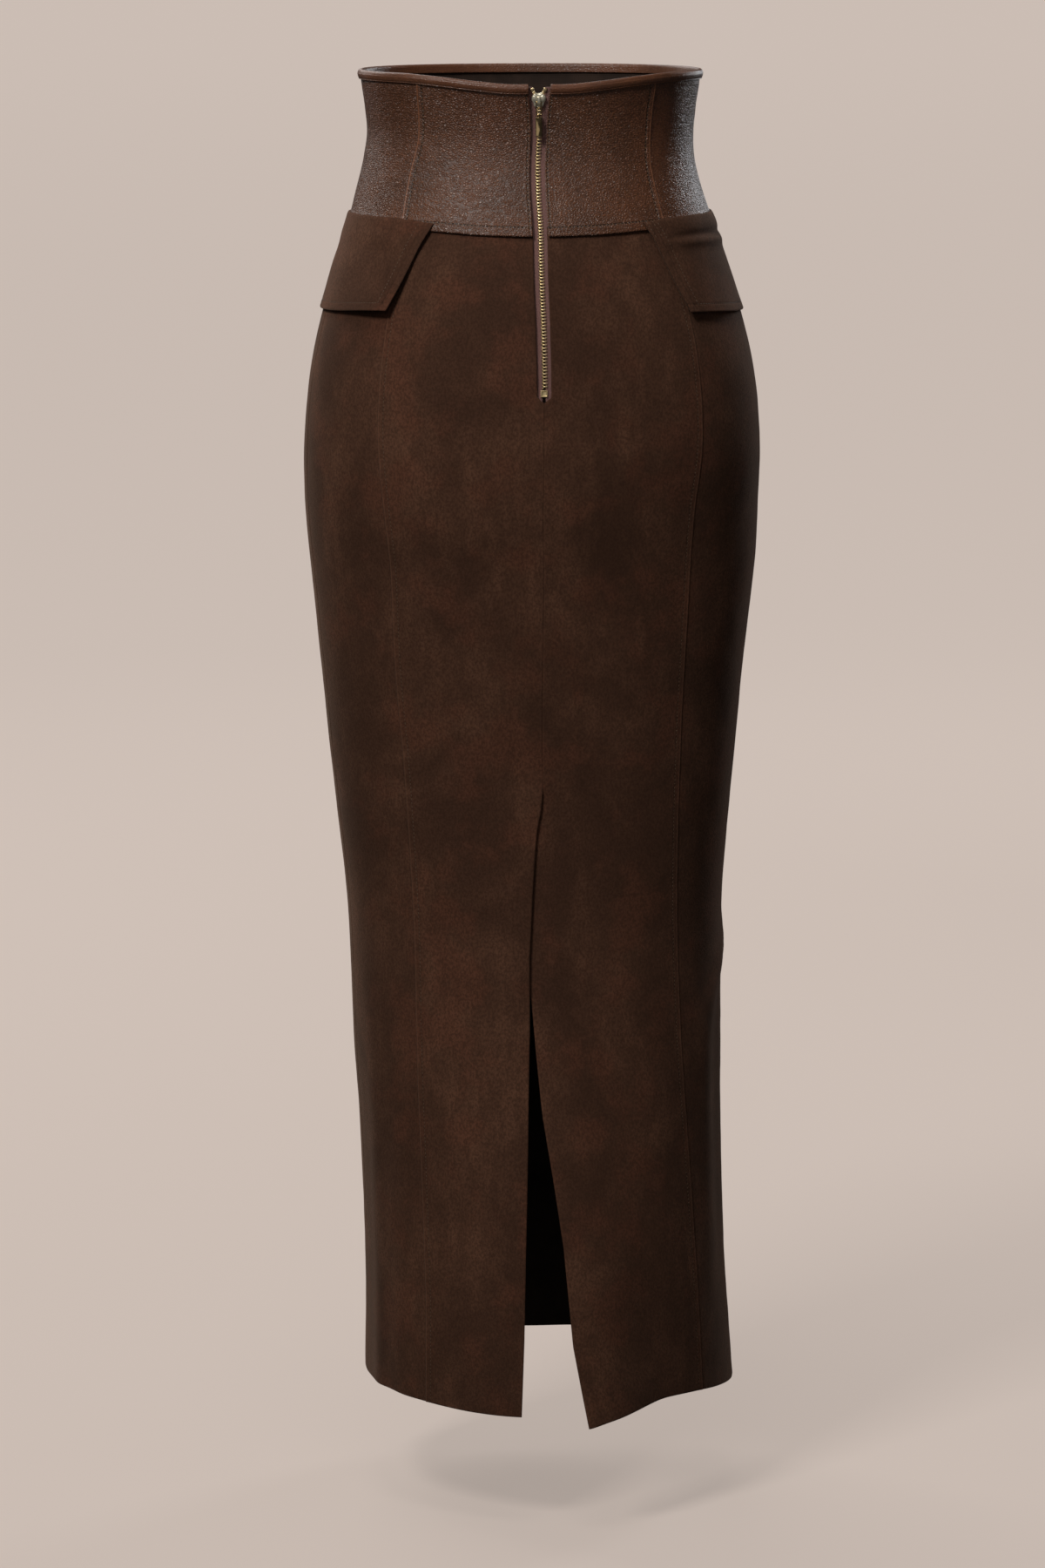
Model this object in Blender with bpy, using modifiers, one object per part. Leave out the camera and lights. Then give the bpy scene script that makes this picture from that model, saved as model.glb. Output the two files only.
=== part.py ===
"""A maxi column skirt with a leather corset waist, worn form, in metres, +Z up, its front facing -Y.

The origin is the centre of the waist, the narrowest level. Every cloth piece is a wall that is lofted
from one form: a ring of named sizes at each height, which the pieces share between their seams.
An angle on the form is in degrees from the centre back, and is positive towards the wearer's left (+X).
"""

import math
from collections import namedtuple
from functools import lru_cache

import bmesh
import bpy
from mathutils import Matrix, Vector

MM = 0.001

# ---- Driving dimensions -------------------------------------------------------------------------

SUEDE_WALL = 1.5 * MM
LEATHER_WALL = 1.3 * MM
LEATHER_LIFT = 0.5 * MM  # from the suede's outer face to the leather's inner face
LAP = 8 * MM  # how far the suede runs up behind the leather's lower edge
SEAM_GAP = 0.3 * MM
ROUNDNESS = 2.15  # 2 makes every ring of the form an ellipse, and more squares it off

Ring = namedtuple("Ring", "height half_width shift back_depth front_depth")
RINGS = (
    Ring(0.060, 0.1340, 0.0000, 0.0970, 0.1030),
    Ring(0.040, 0.1320, 0.0000, 0.0940, 0.1010),
    Ring(0.020, 0.1292, 0.0000, 0.0900, 0.0980),
    Ring(0.000, 0.1275, 0.0000, 0.0880, 0.0960),
    Ring(-0.020, 0.1295, 0.0010, 0.0900, 0.0960),
    Ring(-0.042, 0.1347, 0.0010, 0.0970, 0.0980),
    Ring(-0.070, 0.1430, 0.0000, 0.1080, 0.1020),
    Ring(-0.105, 0.1550, 0.0000, 0.1190, 0.1070),
    Ring(-0.145, 0.1675, -0.0010, 0.1280, 0.1120),
    Ring(-0.190, 0.1772, -0.0015, 0.1335, 0.1155),
    Ring(-0.245, 0.1818, -0.0015, 0.1355, 0.1170),
    Ring(-0.290, 0.1812, -0.0010, 0.1325, 0.1160),
    Ring(-0.340, 0.1780, -0.0020, 0.1260, 0.1130),
    Ring(-0.430, 0.1684, -0.0015, 0.1190, 0.1100),
    Ring(-0.515, 0.1605, -0.0020, 0.1150, 0.1100),
    Ring(-0.590, 0.1529, -0.0030, 0.1155, 0.1130),
    Ring(-0.635, 0.1502, -0.0040, 0.1180, 0.1170),
    Ring(-0.720, 0.1486, -0.0055, 0.1260, 0.1260),
    Ring(-0.810, 0.1460, -0.0085, 0.1370, 0.1370),
    Ring(-0.900, 0.1460, -0.0115, 0.1460, 0.1460),
    Ring(-1.020, 0.1498, -0.0155, 0.1510, 0.1500),
)

# Heights of edges that run round the skirt, by the angle from the centre back on either side.
Edge = namedtuple("Edge", "angle height")
TOP_EDGE = (
    Edge(0, 0.0420),
    Edge(15, 0.0420),
    Edge(30, 0.0445),
    Edge(45, 0.0475),
    Edge(60, 0.0495),
    Edge(180, 0.0495),
)
LEATHER_EDGE = (
    Edge(0, -0.0755),
    Edge(24, -0.0742),
    Edge(42, -0.0720),
    Edge(70, -0.0700),
    Edge(180, -0.0700),
)
HEM_LEFT = (
    Edge(0, -1.0070),
    Edge(20, -1.0060),
    Edge(37, -1.0045),
    Edge(50, -1.0025),
    Edge(62, -1.0007),
    Edge(83, -1.0010),
    Edge(130, -1.0055),
    Edge(180, -1.0060),
)
HEM_RIGHT = (
    Edge(0, -1.0120),
    Edge(6, -1.0120),
    Edge(12, -1.0080),
    Edge(30, -1.0000),
    Edge(45, -0.9998),
    Edge(60, -1.0035),
    Edge(83, -1.0085),
    Edge(130, -1.0065),
    Edge(180, -1.0060),
)

# Seams that run down the skirt: the angle on the left and on the right at each height.
Seam = namedtuple("Seam", "height left right")
SIDE_SEAM = (Seam(0.060, 83, -83), Seam(-1.020, 83, -83))
LEATHER_SEAM = (
    Seam(0.045, 53.0, -52.5),
    Seam(0.000, 55.0, -53.3),
    Seam(-0.030, 56.0, -52.6),
    Seam(-0.080, 53.5, -50.0),
)
SKIRT_SEAM = (
    Seam(-0.060, 52.0, -51.5),
    Seam(-0.225, 52.0, -51.5),
    Seam(-0.300, 50.3, -49.7),
    Seam(-0.410, 51.1, -50.9),
    Seam(-0.500, 50.2, -51.6),
    Seam(-0.610, 49.0, -51.6),
    Seam(-0.710, 47.2, -50.6),
    Seam(-0.810, 45.2, -50.5),
    Seam(-0.910, 43.5, -50.5),
    Seam(-1.020, 44.0, -50.0),
)

# The opening that the zip fills, as distances across from the centre back, and its lower end.
LEATHER_OPENING = (
    Seam(0.045, 8.6 * MM, -9.4 * MM),
    Seam(0.012, 6.2 * MM, -6.4 * MM),
    Seam(-0.080, 6.1 * MM, -6.1 * MM),
)
SUEDE_OPENING = 5.5 * MM
ZIP_END = -0.2000
ZIP_END_SLOPE = 2 * MM  # the opening closes over this height above and below its end

# The slit's two edges: the left one laps over the right one, then they part towards the hem.
SLIT_TOP = -0.5070
SLIT = (
    Seam(SLIT_TOP, 0.0, 0.0),
    Seam(-0.514, 0.3, 0.0),
    Seam(-0.525, 0.8, 2.6),
    Seam(-0.541, 2.5, 4.6),
    Seam(-0.560, 3.4, 6.0),
    Seam(-0.594, 4.7, 8.0),
    Seam(-0.643, 6.3, 8.0),
    Seam(-0.680, 6.4, 5.6),
    Seam(-0.700, 6.5, 4.9),
    Seam(-0.766, 7.6, 2.9),
    Seam(-0.822, 8.5, 0.0),
    Seam(-0.869, 9.3, -1.9),
    Seam(-0.946, 10.6, -3.2),
    Seam(-1.012, 12.1, -6.4),
    Seam(-1.030, 12.4, -6.8),
)
# How far each back panel stands out from the form at its slit edge.
Swing = namedtuple("Swing", "height left right")
SLIT_SWING = (
    Swing(SLIT_TOP, 0.0, 0.0),
    Swing(-0.514, 1.6 * MM, -0.6 * MM),
    Swing(-0.541, 2.3 * MM, -0.6 * MM),
    Swing(-0.650, 3.0 * MM, -0.5 * MM),
    Swing(-0.700, 3.5 * MM, 0.6 * MM),
    Swing(-0.820, 5.0 * MM, 8.0 * MM),
    Swing(-0.920, 6.5 * MM, 20.0 * MM),
    Swing(-1.020, 8.0 * MM, 30.0 * MM),
)
SWING_REACH = 30  # degrees from the slit edge over which a panel returns to the form

# Soft folds that run down the lower skirt. Each is a ridge, or a trough where its rise is below zero.
Fold = namedtuple("Fold", "width path")
Bend = namedtuple("Bend", "height angle rise")
FOLDS = (
    Fold(6, (Bend(-0.60, 68, 0), Bend(-0.78, 67, 1.8 * MM), Bend(-1.03, 66, 3.0 * MM))),
    Fold(6, (Bend(-0.70, 56, 0), Bend(-0.88, 55, 1.2 * MM), Bend(-1.03, 54, 2.0 * MM))),
    Fold(
        6,
        (
            Bend(-0.620, -92, 0),
            Bend(-0.645, -86, 2.2 * MM),
            Bend(-0.690, -68, 3.0 * MM),
            Bend(-0.730, -63, 3.0 * MM),
            Bend(-0.870, -60, 2.0 * MM),
            Bend(-0.940, -59, 0),
        ),
    ),
    Fold(
        7,
        (
            Bend(-0.66, -76, 0),
            Bend(-0.74, -73, -2.0 * MM),
            Bend(-0.86, -71, -1.6 * MM),
            Bend(-0.96, -70, 0),
        ),
    ),
    Fold(9, (Bend(-0.60, 140, 0), Bend(-0.80, 142, 3.0 * MM), Bend(-1.03, 144, 5.0 * MM))),
    Fold(9, (Bend(-0.56, -138, 0), Bend(-0.80, -140, 3.5 * MM), Bend(-1.03, -143, 5.5 * MM))),
    Fold(12, (Bend(-0.66, 178, 0), Bend(-0.85, 179, -3.0 * MM), Bend(-1.03, 180, -5.0 * MM))),
)

# Pocket flaps, sewn on over the leather's lower edge.
FLAP_WALL = 1.8 * MM
FLAP_LIFT_TOP = 2.3 * MM  # from the form to the flap's inner face where it lies on the leather
FLAP_LIFT_LOW = 0.9 * MM  # and where it lies on the suede
FLAP_TOP = (
    Edge(42, -0.0662),
    Edge(51, -0.0640),
    Edge(64, -0.0625),
    Edge(110, -0.0625),
)
FLAP_BOTTOM = (
    Edge(42, -0.1340),
    Edge(51, -0.1346),
    Edge(61, -0.1355),
    Edge(76, -0.1375),
    Edge(110, -0.1390),
)
# The angles of the flap's slanted ends, by the share of the way down from its top to its foot.
FlapEnd = namedtuple("FlapEnd", "down back front")
FLAP_ENDS = (
    FlapEnd(0.00, 41.5, 108.0),
    FlapEnd(0.30, 45.1, 105.0),
    FlapEnd(0.62, 47.6, 101.8),
    FlapEnd(1.00, 51.0, 98.0),
)
Flap = namedtuple("Flap", "side corner_lift drop")
FLAPS = {
    "flap_left": Flap(1, 6.0 * MM, 0.0),
    "flap_right": Flap(-1, 1.8 * MM, 2.0 * MM),
}
FLAP_CURL = 16  # degrees from the back end over which the lifted corner settles
FLAP_SETTLES = (-0.8, 3.8)  # at its top and foot: from 0, still on the leather, to 1, down on the suede

# The bound top edge: a strip folded over the leather.
BINDING_DEPTH = 6.5 * MM
BINDING_WALL = 0.7 * MM
BINDING_ROOM = 0.4 * MM  # between the strip and the leather that it wraps

# The zip. Its parts lie about the tape's middle plane, at these distances out from the form.
TAPE_WALL = 1.0 * MM
TAPE_REACH = 15 * MM
TapeLine = namedtuple("TapeLine", "height plane edge")
TAPE_LINES = (
    TapeLine(0.0398, -1.5 * MM, 6.5 * MM),
    TapeLine(0.0355, -1.5 * MM, 6.3 * MM),
    TapeLine(0.0325, -1.3 * MM, 4.6 * MM),
    TapeLine(0.0270, -0.9 * MM, 3.05 * MM),
    TapeLine(-0.0400, -0.9 * MM, 3.05 * MM),
    TapeLine(-0.0650, -2.7 * MM, 3.05 * MM),
    TapeLine(-0.2060, -2.7 * MM, 3.05 * MM),
)
CHAIN_WIDTH = 5.4 * MM
CHAIN_HEIGHT = 2.6 * MM
CHAIN_TOP = 0.0246
CHAIN_END = -0.1920
STOP_SIZE = (5.5 * MM, 3.2 * MM, 5.2 * MM)
TOP_STOP_SIZE = (1.6 * MM, 2.8 * MM, 3.4 * MM)
TOP_STOP_X = 5.2 * MM
TOP_STOP_HEIGHT = 0.0378
STOP_ROUNDING = 0.3 * MM

SLIDER_HEIGHT = 0.0302
PLATE_WALL = 1.2 * MM
PLATE_STAND = 1.5 * MM  # from the middle plane to the plate's near face
# Millimetres across and along the zip, for the right half of the heart-shaped plates.
SLIDER_OUTLINE = (
    (0.9, 4.3),
    (2.3, 5.2),
    (4.2, 4.6),
    (5.7, 1.9),
    (5.2, -0.6),
    (4.0, -2.0),
    (3.7, -4.6),
    (2.8, -5.2),
)
WEDGE_OUTLINE = ((-1.3, 4.0), (1.3, 4.0), (0.4, 0.8), (-0.4, 0.8))
# Millimetres out of the skirt and along the zip, for the bridge that the pull hangs from.
BRIDGE_WIDTH = 1.7 * MM
BRIDGE_OUTLINE = (
    (2.4, 3.4),
    (4.3, 3.1),
    (4.8, 2.5),
    (4.8, -2.1),
    (4.3, -2.7),
    (2.4, -3.0),
    (2.4, -1.9),
    (4.0, -1.7),
    (4.0, 2.1),
    (2.4, 2.3),
)
PIVOT_ALONG = -1.0 * MM
PIVOT_OUT = 3.35 * MM

LINK_WIRE = 0.4 * MM  # radius
LINK_HALF_WIDTH = 1.95 * MM
LINK_LENGTH = 10.2 * MM
LINK_CORNER = 0.6 * MM
EYE_OUTER = 1.25 * MM
EYE_INNER = 0.75 * MM
EYE_WIDTH = 2.2 * MM
BAR_SIZE = (4.9 * MM, 1.2 * MM, 14.8 * MM)
BAR_DROP = 1.9 * MM  # from the eye's centre to the bar's shoulders
BAR_ROUNDING = 0.35 * MM

# ---- Where the walls are divided ----------------------------------------------------------------

BACK_STEPS = 7
SIDE_STEPS = 7
BINDING_STEPS = 16
# Round the front the columns stand closer at the two sides, where it curves most.
FRONT_SIDE_STEPS = 10
FRONT_SIDE_SHARE = 0.285
FRONT_MIDDLE_STEPS = 8

SUEDE_LEVELS = (
    -0.100,
    -0.130,
    -0.163,
    ZIP_END + ZIP_END_SLOPE,
    ZIP_END - ZIP_END_SLOPE,
    *(-0.240 - 0.044 * step for step in range(6)),
    SLIT_TOP,
    -0.514,
    -0.525,
    -0.541,
    -0.560,
    -0.594,
    -0.622,
    -0.650,
    -0.680,
    -0.705,
    *(-0.740 - 0.040 * step for step in range(7)),
)
LEATHER_ROWS = 7
FLAP_ROWS = 8
FLAP_COLUMNS = 14
TAPE_HEIGHTS = (
    0.0398,
    0.0355,
    0.0325,
    0.0270,
    CHAIN_TOP,
    0.0,
    -0.0200,
    -0.0400,
    -0.0525,
    -0.0650,
    -0.0850,
    -0.1070,
    -0.1380,
    -0.1690,
    CHAIN_END,
    -0.2060,
)
TAPE_COLUMNS = 4
ROD_SIDES = 20
CORNER_STEPS = 2  # straight stretches round each corner of the link
SHARP_ANGLE = 35  # edges that turn more than this many degrees are shaded sharp
NEAR_ANGLE = 1.0  # degrees and metres to the neighbouring points that give the form's normal
NEAR_HEIGHT = 0.004

Finish = namedtuple("Finish", "colour roughness metallic")
FINISHES = {
    "leather": Finish((0.060, 0.032, 0.022), 0.42, 0.0),
    "suede": Finish((0.038, 0.020, 0.013), 0.95, 0.0),
    "tape": Finish((0.085, 0.048, 0.045), 0.85, 0.0),
    "gold": Finish((0.830, 0.640, 0.380), 0.18, 1.0),
}


# ---- The form -----------------------------------------------------------------------------------


@lru_cache(maxsize=None)
def columns_of(rows, key, value):
    """The named key and value of every row, in the order of the key."""
    pairs = sorted((getattr(row, key), getattr(row, value)) for row in rows)
    return [pair[0] for pair in pairs], [pair[1] for pair in pairs]


def span_at(places, at):
    """The index of the row before this place, and the share of the way to the next one."""
    index = max(i for i, place in enumerate(places[:-1]) if place <= at or i == 0)
    share = (at - places[index]) / (places[index + 1] - places[index])
    return index, min(max(share, 0.0), 1.0)


def straight(rows, key, value, at):
    """The table read at one place, with straight lines between its rows."""
    places, values = columns_of(rows, key, value)
    index, share = span_at(places, at)
    return values[index] * (1 - share) + values[index + 1] * share


def smooth(rows, key, value, at):
    """The table read at one place, on the smooth curve through its rows."""
    places, values = columns_of(rows, key, value)
    index, share = span_at(places, at)

    def slope(row):
        before, after = max(row - 1, 0), min(row + 1, len(places) - 1)
        return (values[after] - values[before]) / (places[after] - places[before])

    span = places[index + 1] - places[index]
    return (
        (2 * share**3 - 3 * share**2 + 1) * values[index]
        + (share**3 - 2 * share**2 + share) * span * slope(index)
        + (3 * share**2 - 2 * share**3) * values[index + 1]
        + (share**3 - share**2) * span * slope(index + 1)
    )


def turned(angle):
    """The angle brought between -180 and 180."""
    return (angle + 180) % 360 - 180


def between(ends, share):
    """The value this share of the way from the first end to the second."""
    return ends[0] + (ends[1] - ends[0]) * share


def bell(away, width):
    """1 at no distance, and a smooth fall to nothing at about twice the width."""
    return math.exp(-((away / width) ** 2))


def eased(share):
    """0 below 0, 1 above 1, and a smooth rise between them."""
    share = min(max(share, 0.0), 1.0)
    return share * share * (3 - 2 * share)


def fold_rise(angle, height):
    return sum(
        straight(fold.path, "height", "rise", height)
        * bell(turned(angle - smooth(fold.path, "height", "angle", height)), fold.width)
        for fold in FOLDS
    )


@lru_cache(maxsize=None)
def ring_at(height):
    return Ring(height, *(smooth(RINGS, "height", name, height) for name in Ring._fields[1:]))


def form_point(angle, height):
    """A point of the form, which is the suede's outer face."""
    ring = ring_at(height)
    sine, cosine = math.sin(math.radians(angle)), math.cos(math.radians(angle))
    depth = ring.back_depth if cosine > 0 else ring.front_depth
    power = (abs(sine) / ring.half_width) ** ROUNDNESS + (abs(cosine) / depth) ** ROUNDNESS
    radius = power ** (-1 / ROUNDNESS) + fold_rise(angle, height)
    return Vector((ring.shift + radius * sine, radius * cosine, height))


def upward(angle, height):
    """The direction up the form's slope."""
    higher, lower = height + NEAR_HEIGHT, height - NEAR_HEIGHT
    return (form_point(angle, higher) - form_point(angle, lower)).normalized()


def outward(angle, height):
    """The form's normal."""
    across = form_point(angle + NEAR_ANGLE, height) - form_point(angle - NEAR_ANGLE, height)
    return upward(angle, height).cross(across).normalized()


def skin(angle, height, stand_off):
    """The form's point moved out along its normal."""
    return form_point(angle, height) + outward(angle, height) * stand_off


def angle_at(across, height):
    """The angle of a point that lies this far across from the centre back."""
    return math.degrees(math.atan2(across, ring_at(height).back_depth))


def edge_height(edge, angle):
    """An edge's height at an angle, the same on the left and right."""
    return smooth(edge, "angle", "height", abs(turned(angle)))


def hem_height(angle):
    return edge_height(HEM_LEFT if turned(angle) > 0 else HEM_RIGHT, angle)


# ---- Objects ------------------------------------------------------------------------------------


def clear_scene():
    for found in list(bpy.data.objects):
        bpy.data.objects.remove(found, do_unlink=True)
    for name in ("maxi_skirt", "cutters"):
        bpy.context.scene.collection.children.link(bpy.data.collections.new(name))


def material(name):
    found = bpy.data.materials.get(name)
    if found is None:
        finish = FINISHES[name]
        found = bpy.data.materials.new(name)
        found.use_nodes = True
        shader = found.node_tree.nodes["Principled BSDF"]
        shader.inputs["Base Color"].default_value = (*finish.colour, 1.0)
        shader.inputs["Roughness"].default_value = finish.roughness
        shader.inputs["Metallic"].default_value = finish.metallic
    return found


def add_object(name, data, finish, collection="maxi_skirt"):
    data.materials.append(material(finish))
    found = bpy.data.objects.new(name, data)
    bpy.data.collections[collection].objects.link(found)
    return found


def add_mesh(name, build, finish, collection="maxi_skirt"):
    """An object whose mesh build(work) makes in an empty bmesh."""
    work = bmesh.new()
    build(work)
    bmesh.ops.recalc_face_normals(work, faces=work.faces)
    mesh = bpy.data.meshes.new(name)
    work.to_mesh(mesh)
    work.free()
    mesh.shade_smooth()
    mesh.set_sharp_from_angle(angle=math.radians(SHARP_ANGLE))
    return add_object(name, mesh, finish, collection)


def add_cutter(name, build):
    """A piece of the zip that a boolean joins to another one or takes away from it."""
    cutter = add_mesh(name, build, "gold", "cutters")
    cutter.hide_render = True
    cutter.display_type = "WIRE"
    return cutter


def boolean(target, operation, cutter):
    modifier = target.modifiers.new(cutter.name, "BOOLEAN")
    modifier.operation = operation
    modifier.solver = "EXACT"
    modifier.object = cutter


def add_loft(name, rings, finish):
    """A closed skin through rings of points, with both end rings filled."""

    def build(work):
        skins = [[work.verts.new(point) for point in ring] for ring in rings]
        for ring, following in zip(skins, skins[1:]):
            for i, vertex in enumerate(ring):
                work.faces.new((vertex, ring[i - 1], following[i - 1], following[i]))
        work.faces.new(skins[0])
        work.faces.new(skins[-1])

    return add_mesh(name, build, finish)


def add_wall(name, rows, finish):
    """A closed cloth wall through rows of (outer, inner) pairs of points, one row for each level."""

    def build(work):
        faces = [[[work.verts.new(pair[side]) for pair in row] for row in rows] for side in (0, 1)]
        outer, inner = faces
        last_row, last_column = len(rows) - 1, len(rows[0]) - 1
        for grid in faces:
            for i in range(last_row):
                for j in range(last_column):
                    work.faces.new((grid[i][j], grid[i][j + 1], grid[i + 1][j + 1], grid[i + 1][j]))
        for i in (0, last_row):
            for j in range(last_column):
                work.faces.new((outer[i][j], outer[i][j + 1], inner[i][j + 1], inner[i][j]))
        for j in (0, last_column):
            for i in range(last_row):
                work.faces.new((outer[i][j], outer[i + 1][j], inner[i + 1][j], inner[i][j]))

    return add_mesh(name, build, finish)


def pair_at(angle, height, stand_off, wall):
    """The outer point at this distance from the form, and the inner point one wall behind it."""
    return skin(angle, height, stand_off), skin(angle, height, stand_off - wall)


# ---- Panels -------------------------------------------------------------------------------------


def even_shares(steps):
    """Shares of the way from 0 to 1 in equal steps."""
    return [step / steps for step in range(steps + 1)]


def front_shares():
    """Shares of the way round the front, closer together near its two ends."""
    side = [FRONT_SIDE_SHARE * step / FRONT_SIDE_STEPS for step in range(FRONT_SIDE_STEPS)]
    ends = (FRONT_SIDE_SHARE, 1 - FRONT_SIDE_SHARE)
    middle = [between(ends, share) for share in even_shares(FRONT_MIDDLE_STEPS)]
    return side + middle + [1 - share for share in reversed(side)]


def seam_edge(seam, side, inset):
    """The angle of one side's seam at a height, moved by half of the seam's gap towards inset."""

    def angle(height):
        half_gap = math.degrees(0.5 * SEAM_GAP / ring_at(height).back_depth)
        return smooth(seam, "height", side, height) + inset * half_gap

    return angle


def around_front(edge):
    """The same edge counted past the centre front, for a panel that crosses it."""
    return lambda height: edge(height) + 360


def leather_level(row, angle):
    top = edge_height(TOP_EDGE, angle) - BINDING_WALL - BINDING_ROOM
    return top + (edge_height(LEATHER_EDGE, angle) - top) * row / (LEATHER_ROWS - 1)


def suede_level(row, angle):
    if row == 0:
        return edge_height(LEATHER_EDGE, angle) + LAP
    if row <= len(SUEDE_LEVELS):
        return SUEDE_LEVELS[row - 1]
    return hem_height(angle)


def add_panel(name, low, high, shares, level, rows, stand_off, wall, finish):
    """A cloth panel between two edges, whose angles low and high give at each height.

    Its columns stand at these shares of the way between the edges. level gives a row's height at an
    angle, and stand_off how far out the panel's outer face lies.
    """

    def edge_angle(edge, row):
        return edge(level(row, edge(level(row, 0))))

    grid = []
    for row in range(rows):
        start, end = edge_angle(low, row), edge_angle(high, row)
        angles = [start + (end - start) * share for share in shares]
        heights = [level(row, angle) for angle in angles]
        grid.append([pair_at(a, h, stand_off(a, h), wall) for a, h in zip(angles, heights)])
    return add_wall(name, grid, finish)


def add_leather(name, low, high, shares):
    def stand_off(angle, height):
        return LEATHER_LIFT + LEATHER_WALL

    level, rows = leather_level, LEATHER_ROWS
    return add_panel(name, low, high, shares, level, rows, stand_off, LEATHER_WALL, "leather")


def on_form(angle, height):
    return 0.0


def add_suede(name, low, high, shares, stand_off=on_form):
    rows = len(SUEDE_LEVELS) + 2
    return add_panel(name, low, high, shares, suede_level, rows, stand_off, SUEDE_WALL, "suede")


def leather_opening(side):
    return lambda height: angle_at(smooth(LEATHER_OPENING, "height", side, height), height)


def suede_opening(side, sign):
    """The centre-back edge of a back panel: beside the zip, then the seam, then the slit."""

    def angle(height):
        if height > ZIP_END:
            return angle_at(sign * SUEDE_OPENING, height)
        seam = angle_at(sign * 0.5 * SEAM_GAP, height)
        return seam + straight(SLIT, "height", side, height)

    return angle


def slit_swing(side, sign):
    """How far a back panel stands out near its slit edge."""
    edge = suede_opening(side, sign)

    def stand_off(angle, height):
        away = sign * (angle - edge(height))
        return straight(SLIT_SWING, "height", side, height) * eased(1 - away / SWING_REACH)

    return stand_off


def side_edges():
    """The side seams as edges: the left panel's end, the front's start and end, the right panel's start."""
    return (
        seam_edge(SIDE_SEAM, "left", -1),
        seam_edge(SIDE_SEAM, "left", 1),
        around_front(seam_edge(SIDE_SEAM, "right", -1)),
        seam_edge(SIDE_SEAM, "right", 1),
    )


def add_waist():
    back, side, front = even_shares(BACK_STEPS), even_shares(SIDE_STEPS), front_shares()
    left_end, front_start, front_end, right_start = side_edges()
    left_seam, right_seam = seam_edge(LEATHER_SEAM, "left", -1), seam_edge(LEATHER_SEAM, "right", 1)
    add_leather("leather_back_left", leather_opening("left"), left_seam, back)
    add_leather("leather_back_right", right_seam, leather_opening("right"), back)
    add_leather("leather_side_left", seam_edge(LEATHER_SEAM, "left", 1), left_end, side)
    add_leather("leather_side_right", right_start, seam_edge(LEATHER_SEAM, "right", -1), side)
    add_leather("leather_front", front_start, front_end, front)


def add_skirt():
    back, side, front = even_shares(BACK_STEPS), even_shares(SIDE_STEPS), front_shares()
    left_end, front_start, front_end, right_start = side_edges()
    left_seam, right_seam = seam_edge(SKIRT_SEAM, "left", -1), seam_edge(SKIRT_SEAM, "right", 1)
    add_suede("skirt_back_left", suede_opening("left", 1), left_seam, back, slit_swing("left", 1))
    add_suede("skirt_back_right", right_seam, suede_opening("right", -1), back, slit_swing("right", -1))
    add_suede("skirt_side_left", seam_edge(SKIRT_SEAM, "left", 1), left_end, side)
    add_suede("skirt_side_right", right_start, seam_edge(SKIRT_SEAM, "right", -1), side)
    add_suede("skirt_front", front_start, front_end, front)


# ---- Binding and flaps --------------------------------------------------------------------------


def binding_section():
    """The folded strip's section round the leather's top: distances from the form and below the edge."""
    outer = LEATHER_LIFT + LEATHER_WALL + BINDING_ROOM
    inner = LEATHER_LIFT - BINDING_ROOM
    crest = 0.5 * (outer + inner)
    return (
        (outer, BINDING_DEPTH),
        (outer + BINDING_WALL, BINDING_DEPTH),
        (outer + BINDING_WALL, BINDING_WALL),
        (crest, 0.0),
        (inner - BINDING_WALL, BINDING_WALL),
        (inner - BINDING_WALL, BINDING_DEPTH),
        (inner, BINDING_DEPTH),
        (inner, BINDING_WALL),
        (outer, BINDING_WALL),
    )


def add_binding(name, low, high, shares):
    start, end = (edge(edge_height(TOP_EDGE, edge(0))) for edge in (low, high))
    rings = []
    for share in shares:
        angle = start + (end - start) * share
        top = edge_height(TOP_EDGE, angle)
        rings.append([skin(angle, top - drop, out) for out, drop in binding_section()])
    return add_loft(name, rings, "leather")


def add_bindings():
    back = even_shares(BINDING_STEPS)
    left_end, front_start, front_end, right_start = side_edges()
    add_binding("binding_back_left", leather_opening("left"), left_end, back)
    add_binding("binding_back_right", right_start, leather_opening("right"), back)
    add_binding("binding_front", front_start, front_end, front_shares())


def flap_lift(flap, angle, down):
    """The distance from the form to a flap's inner face; down runs from 0 at its top to 1 at its foot."""
    lift = between((FLAP_LIFT_TOP, FLAP_LIFT_LOW), eased(between(FLAP_SETTLES, down)))
    from_back = angle - smooth(FLAP_ENDS, "down", "back", down)
    return lift + flap.corner_lift * down**2 * bell(from_back, FLAP_CURL)


def add_flap(name, flap):
    rows = []
    for row in range(FLAP_ROWS):
        down = row / (FLAP_ROWS - 1)
        ends = [smooth(FLAP_ENDS, "down", end, down) for end in ("back", "front")]
        pairs = []
        for column in range(FLAP_COLUMNS):
            angle = between(ends, column / (FLAP_COLUMNS - 1))
            foot = edge_height(FLAP_BOTTOM, angle) - flap.drop
            height = between((edge_height(FLAP_TOP, angle), foot), down)
            stand_off = flap_lift(flap, angle, down) + FLAP_WALL
            pairs.append(pair_at(flap.side * angle, height, stand_off, FLAP_WALL))
        rows.append(pairs)
    return add_wall(name, rows, "suede")


# ---- The zip ------------------------------------------------------------------------------------


def tape_plane(height):
    return straight(TAPE_LINES, "height", "plane", height)


def add_zip_strip(name, heights, edges, wall, finish):
    """A strip about the tape's middle plane; edges gives its columns' distances across at a height."""
    rows = []
    for height in heights:
        out = tape_plane(height) + 0.5 * wall
        rows.append([pair_at(angle_at(across, height), height, out, wall) for across in edges(height)])
    return add_wall(name, rows, finish)


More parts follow.
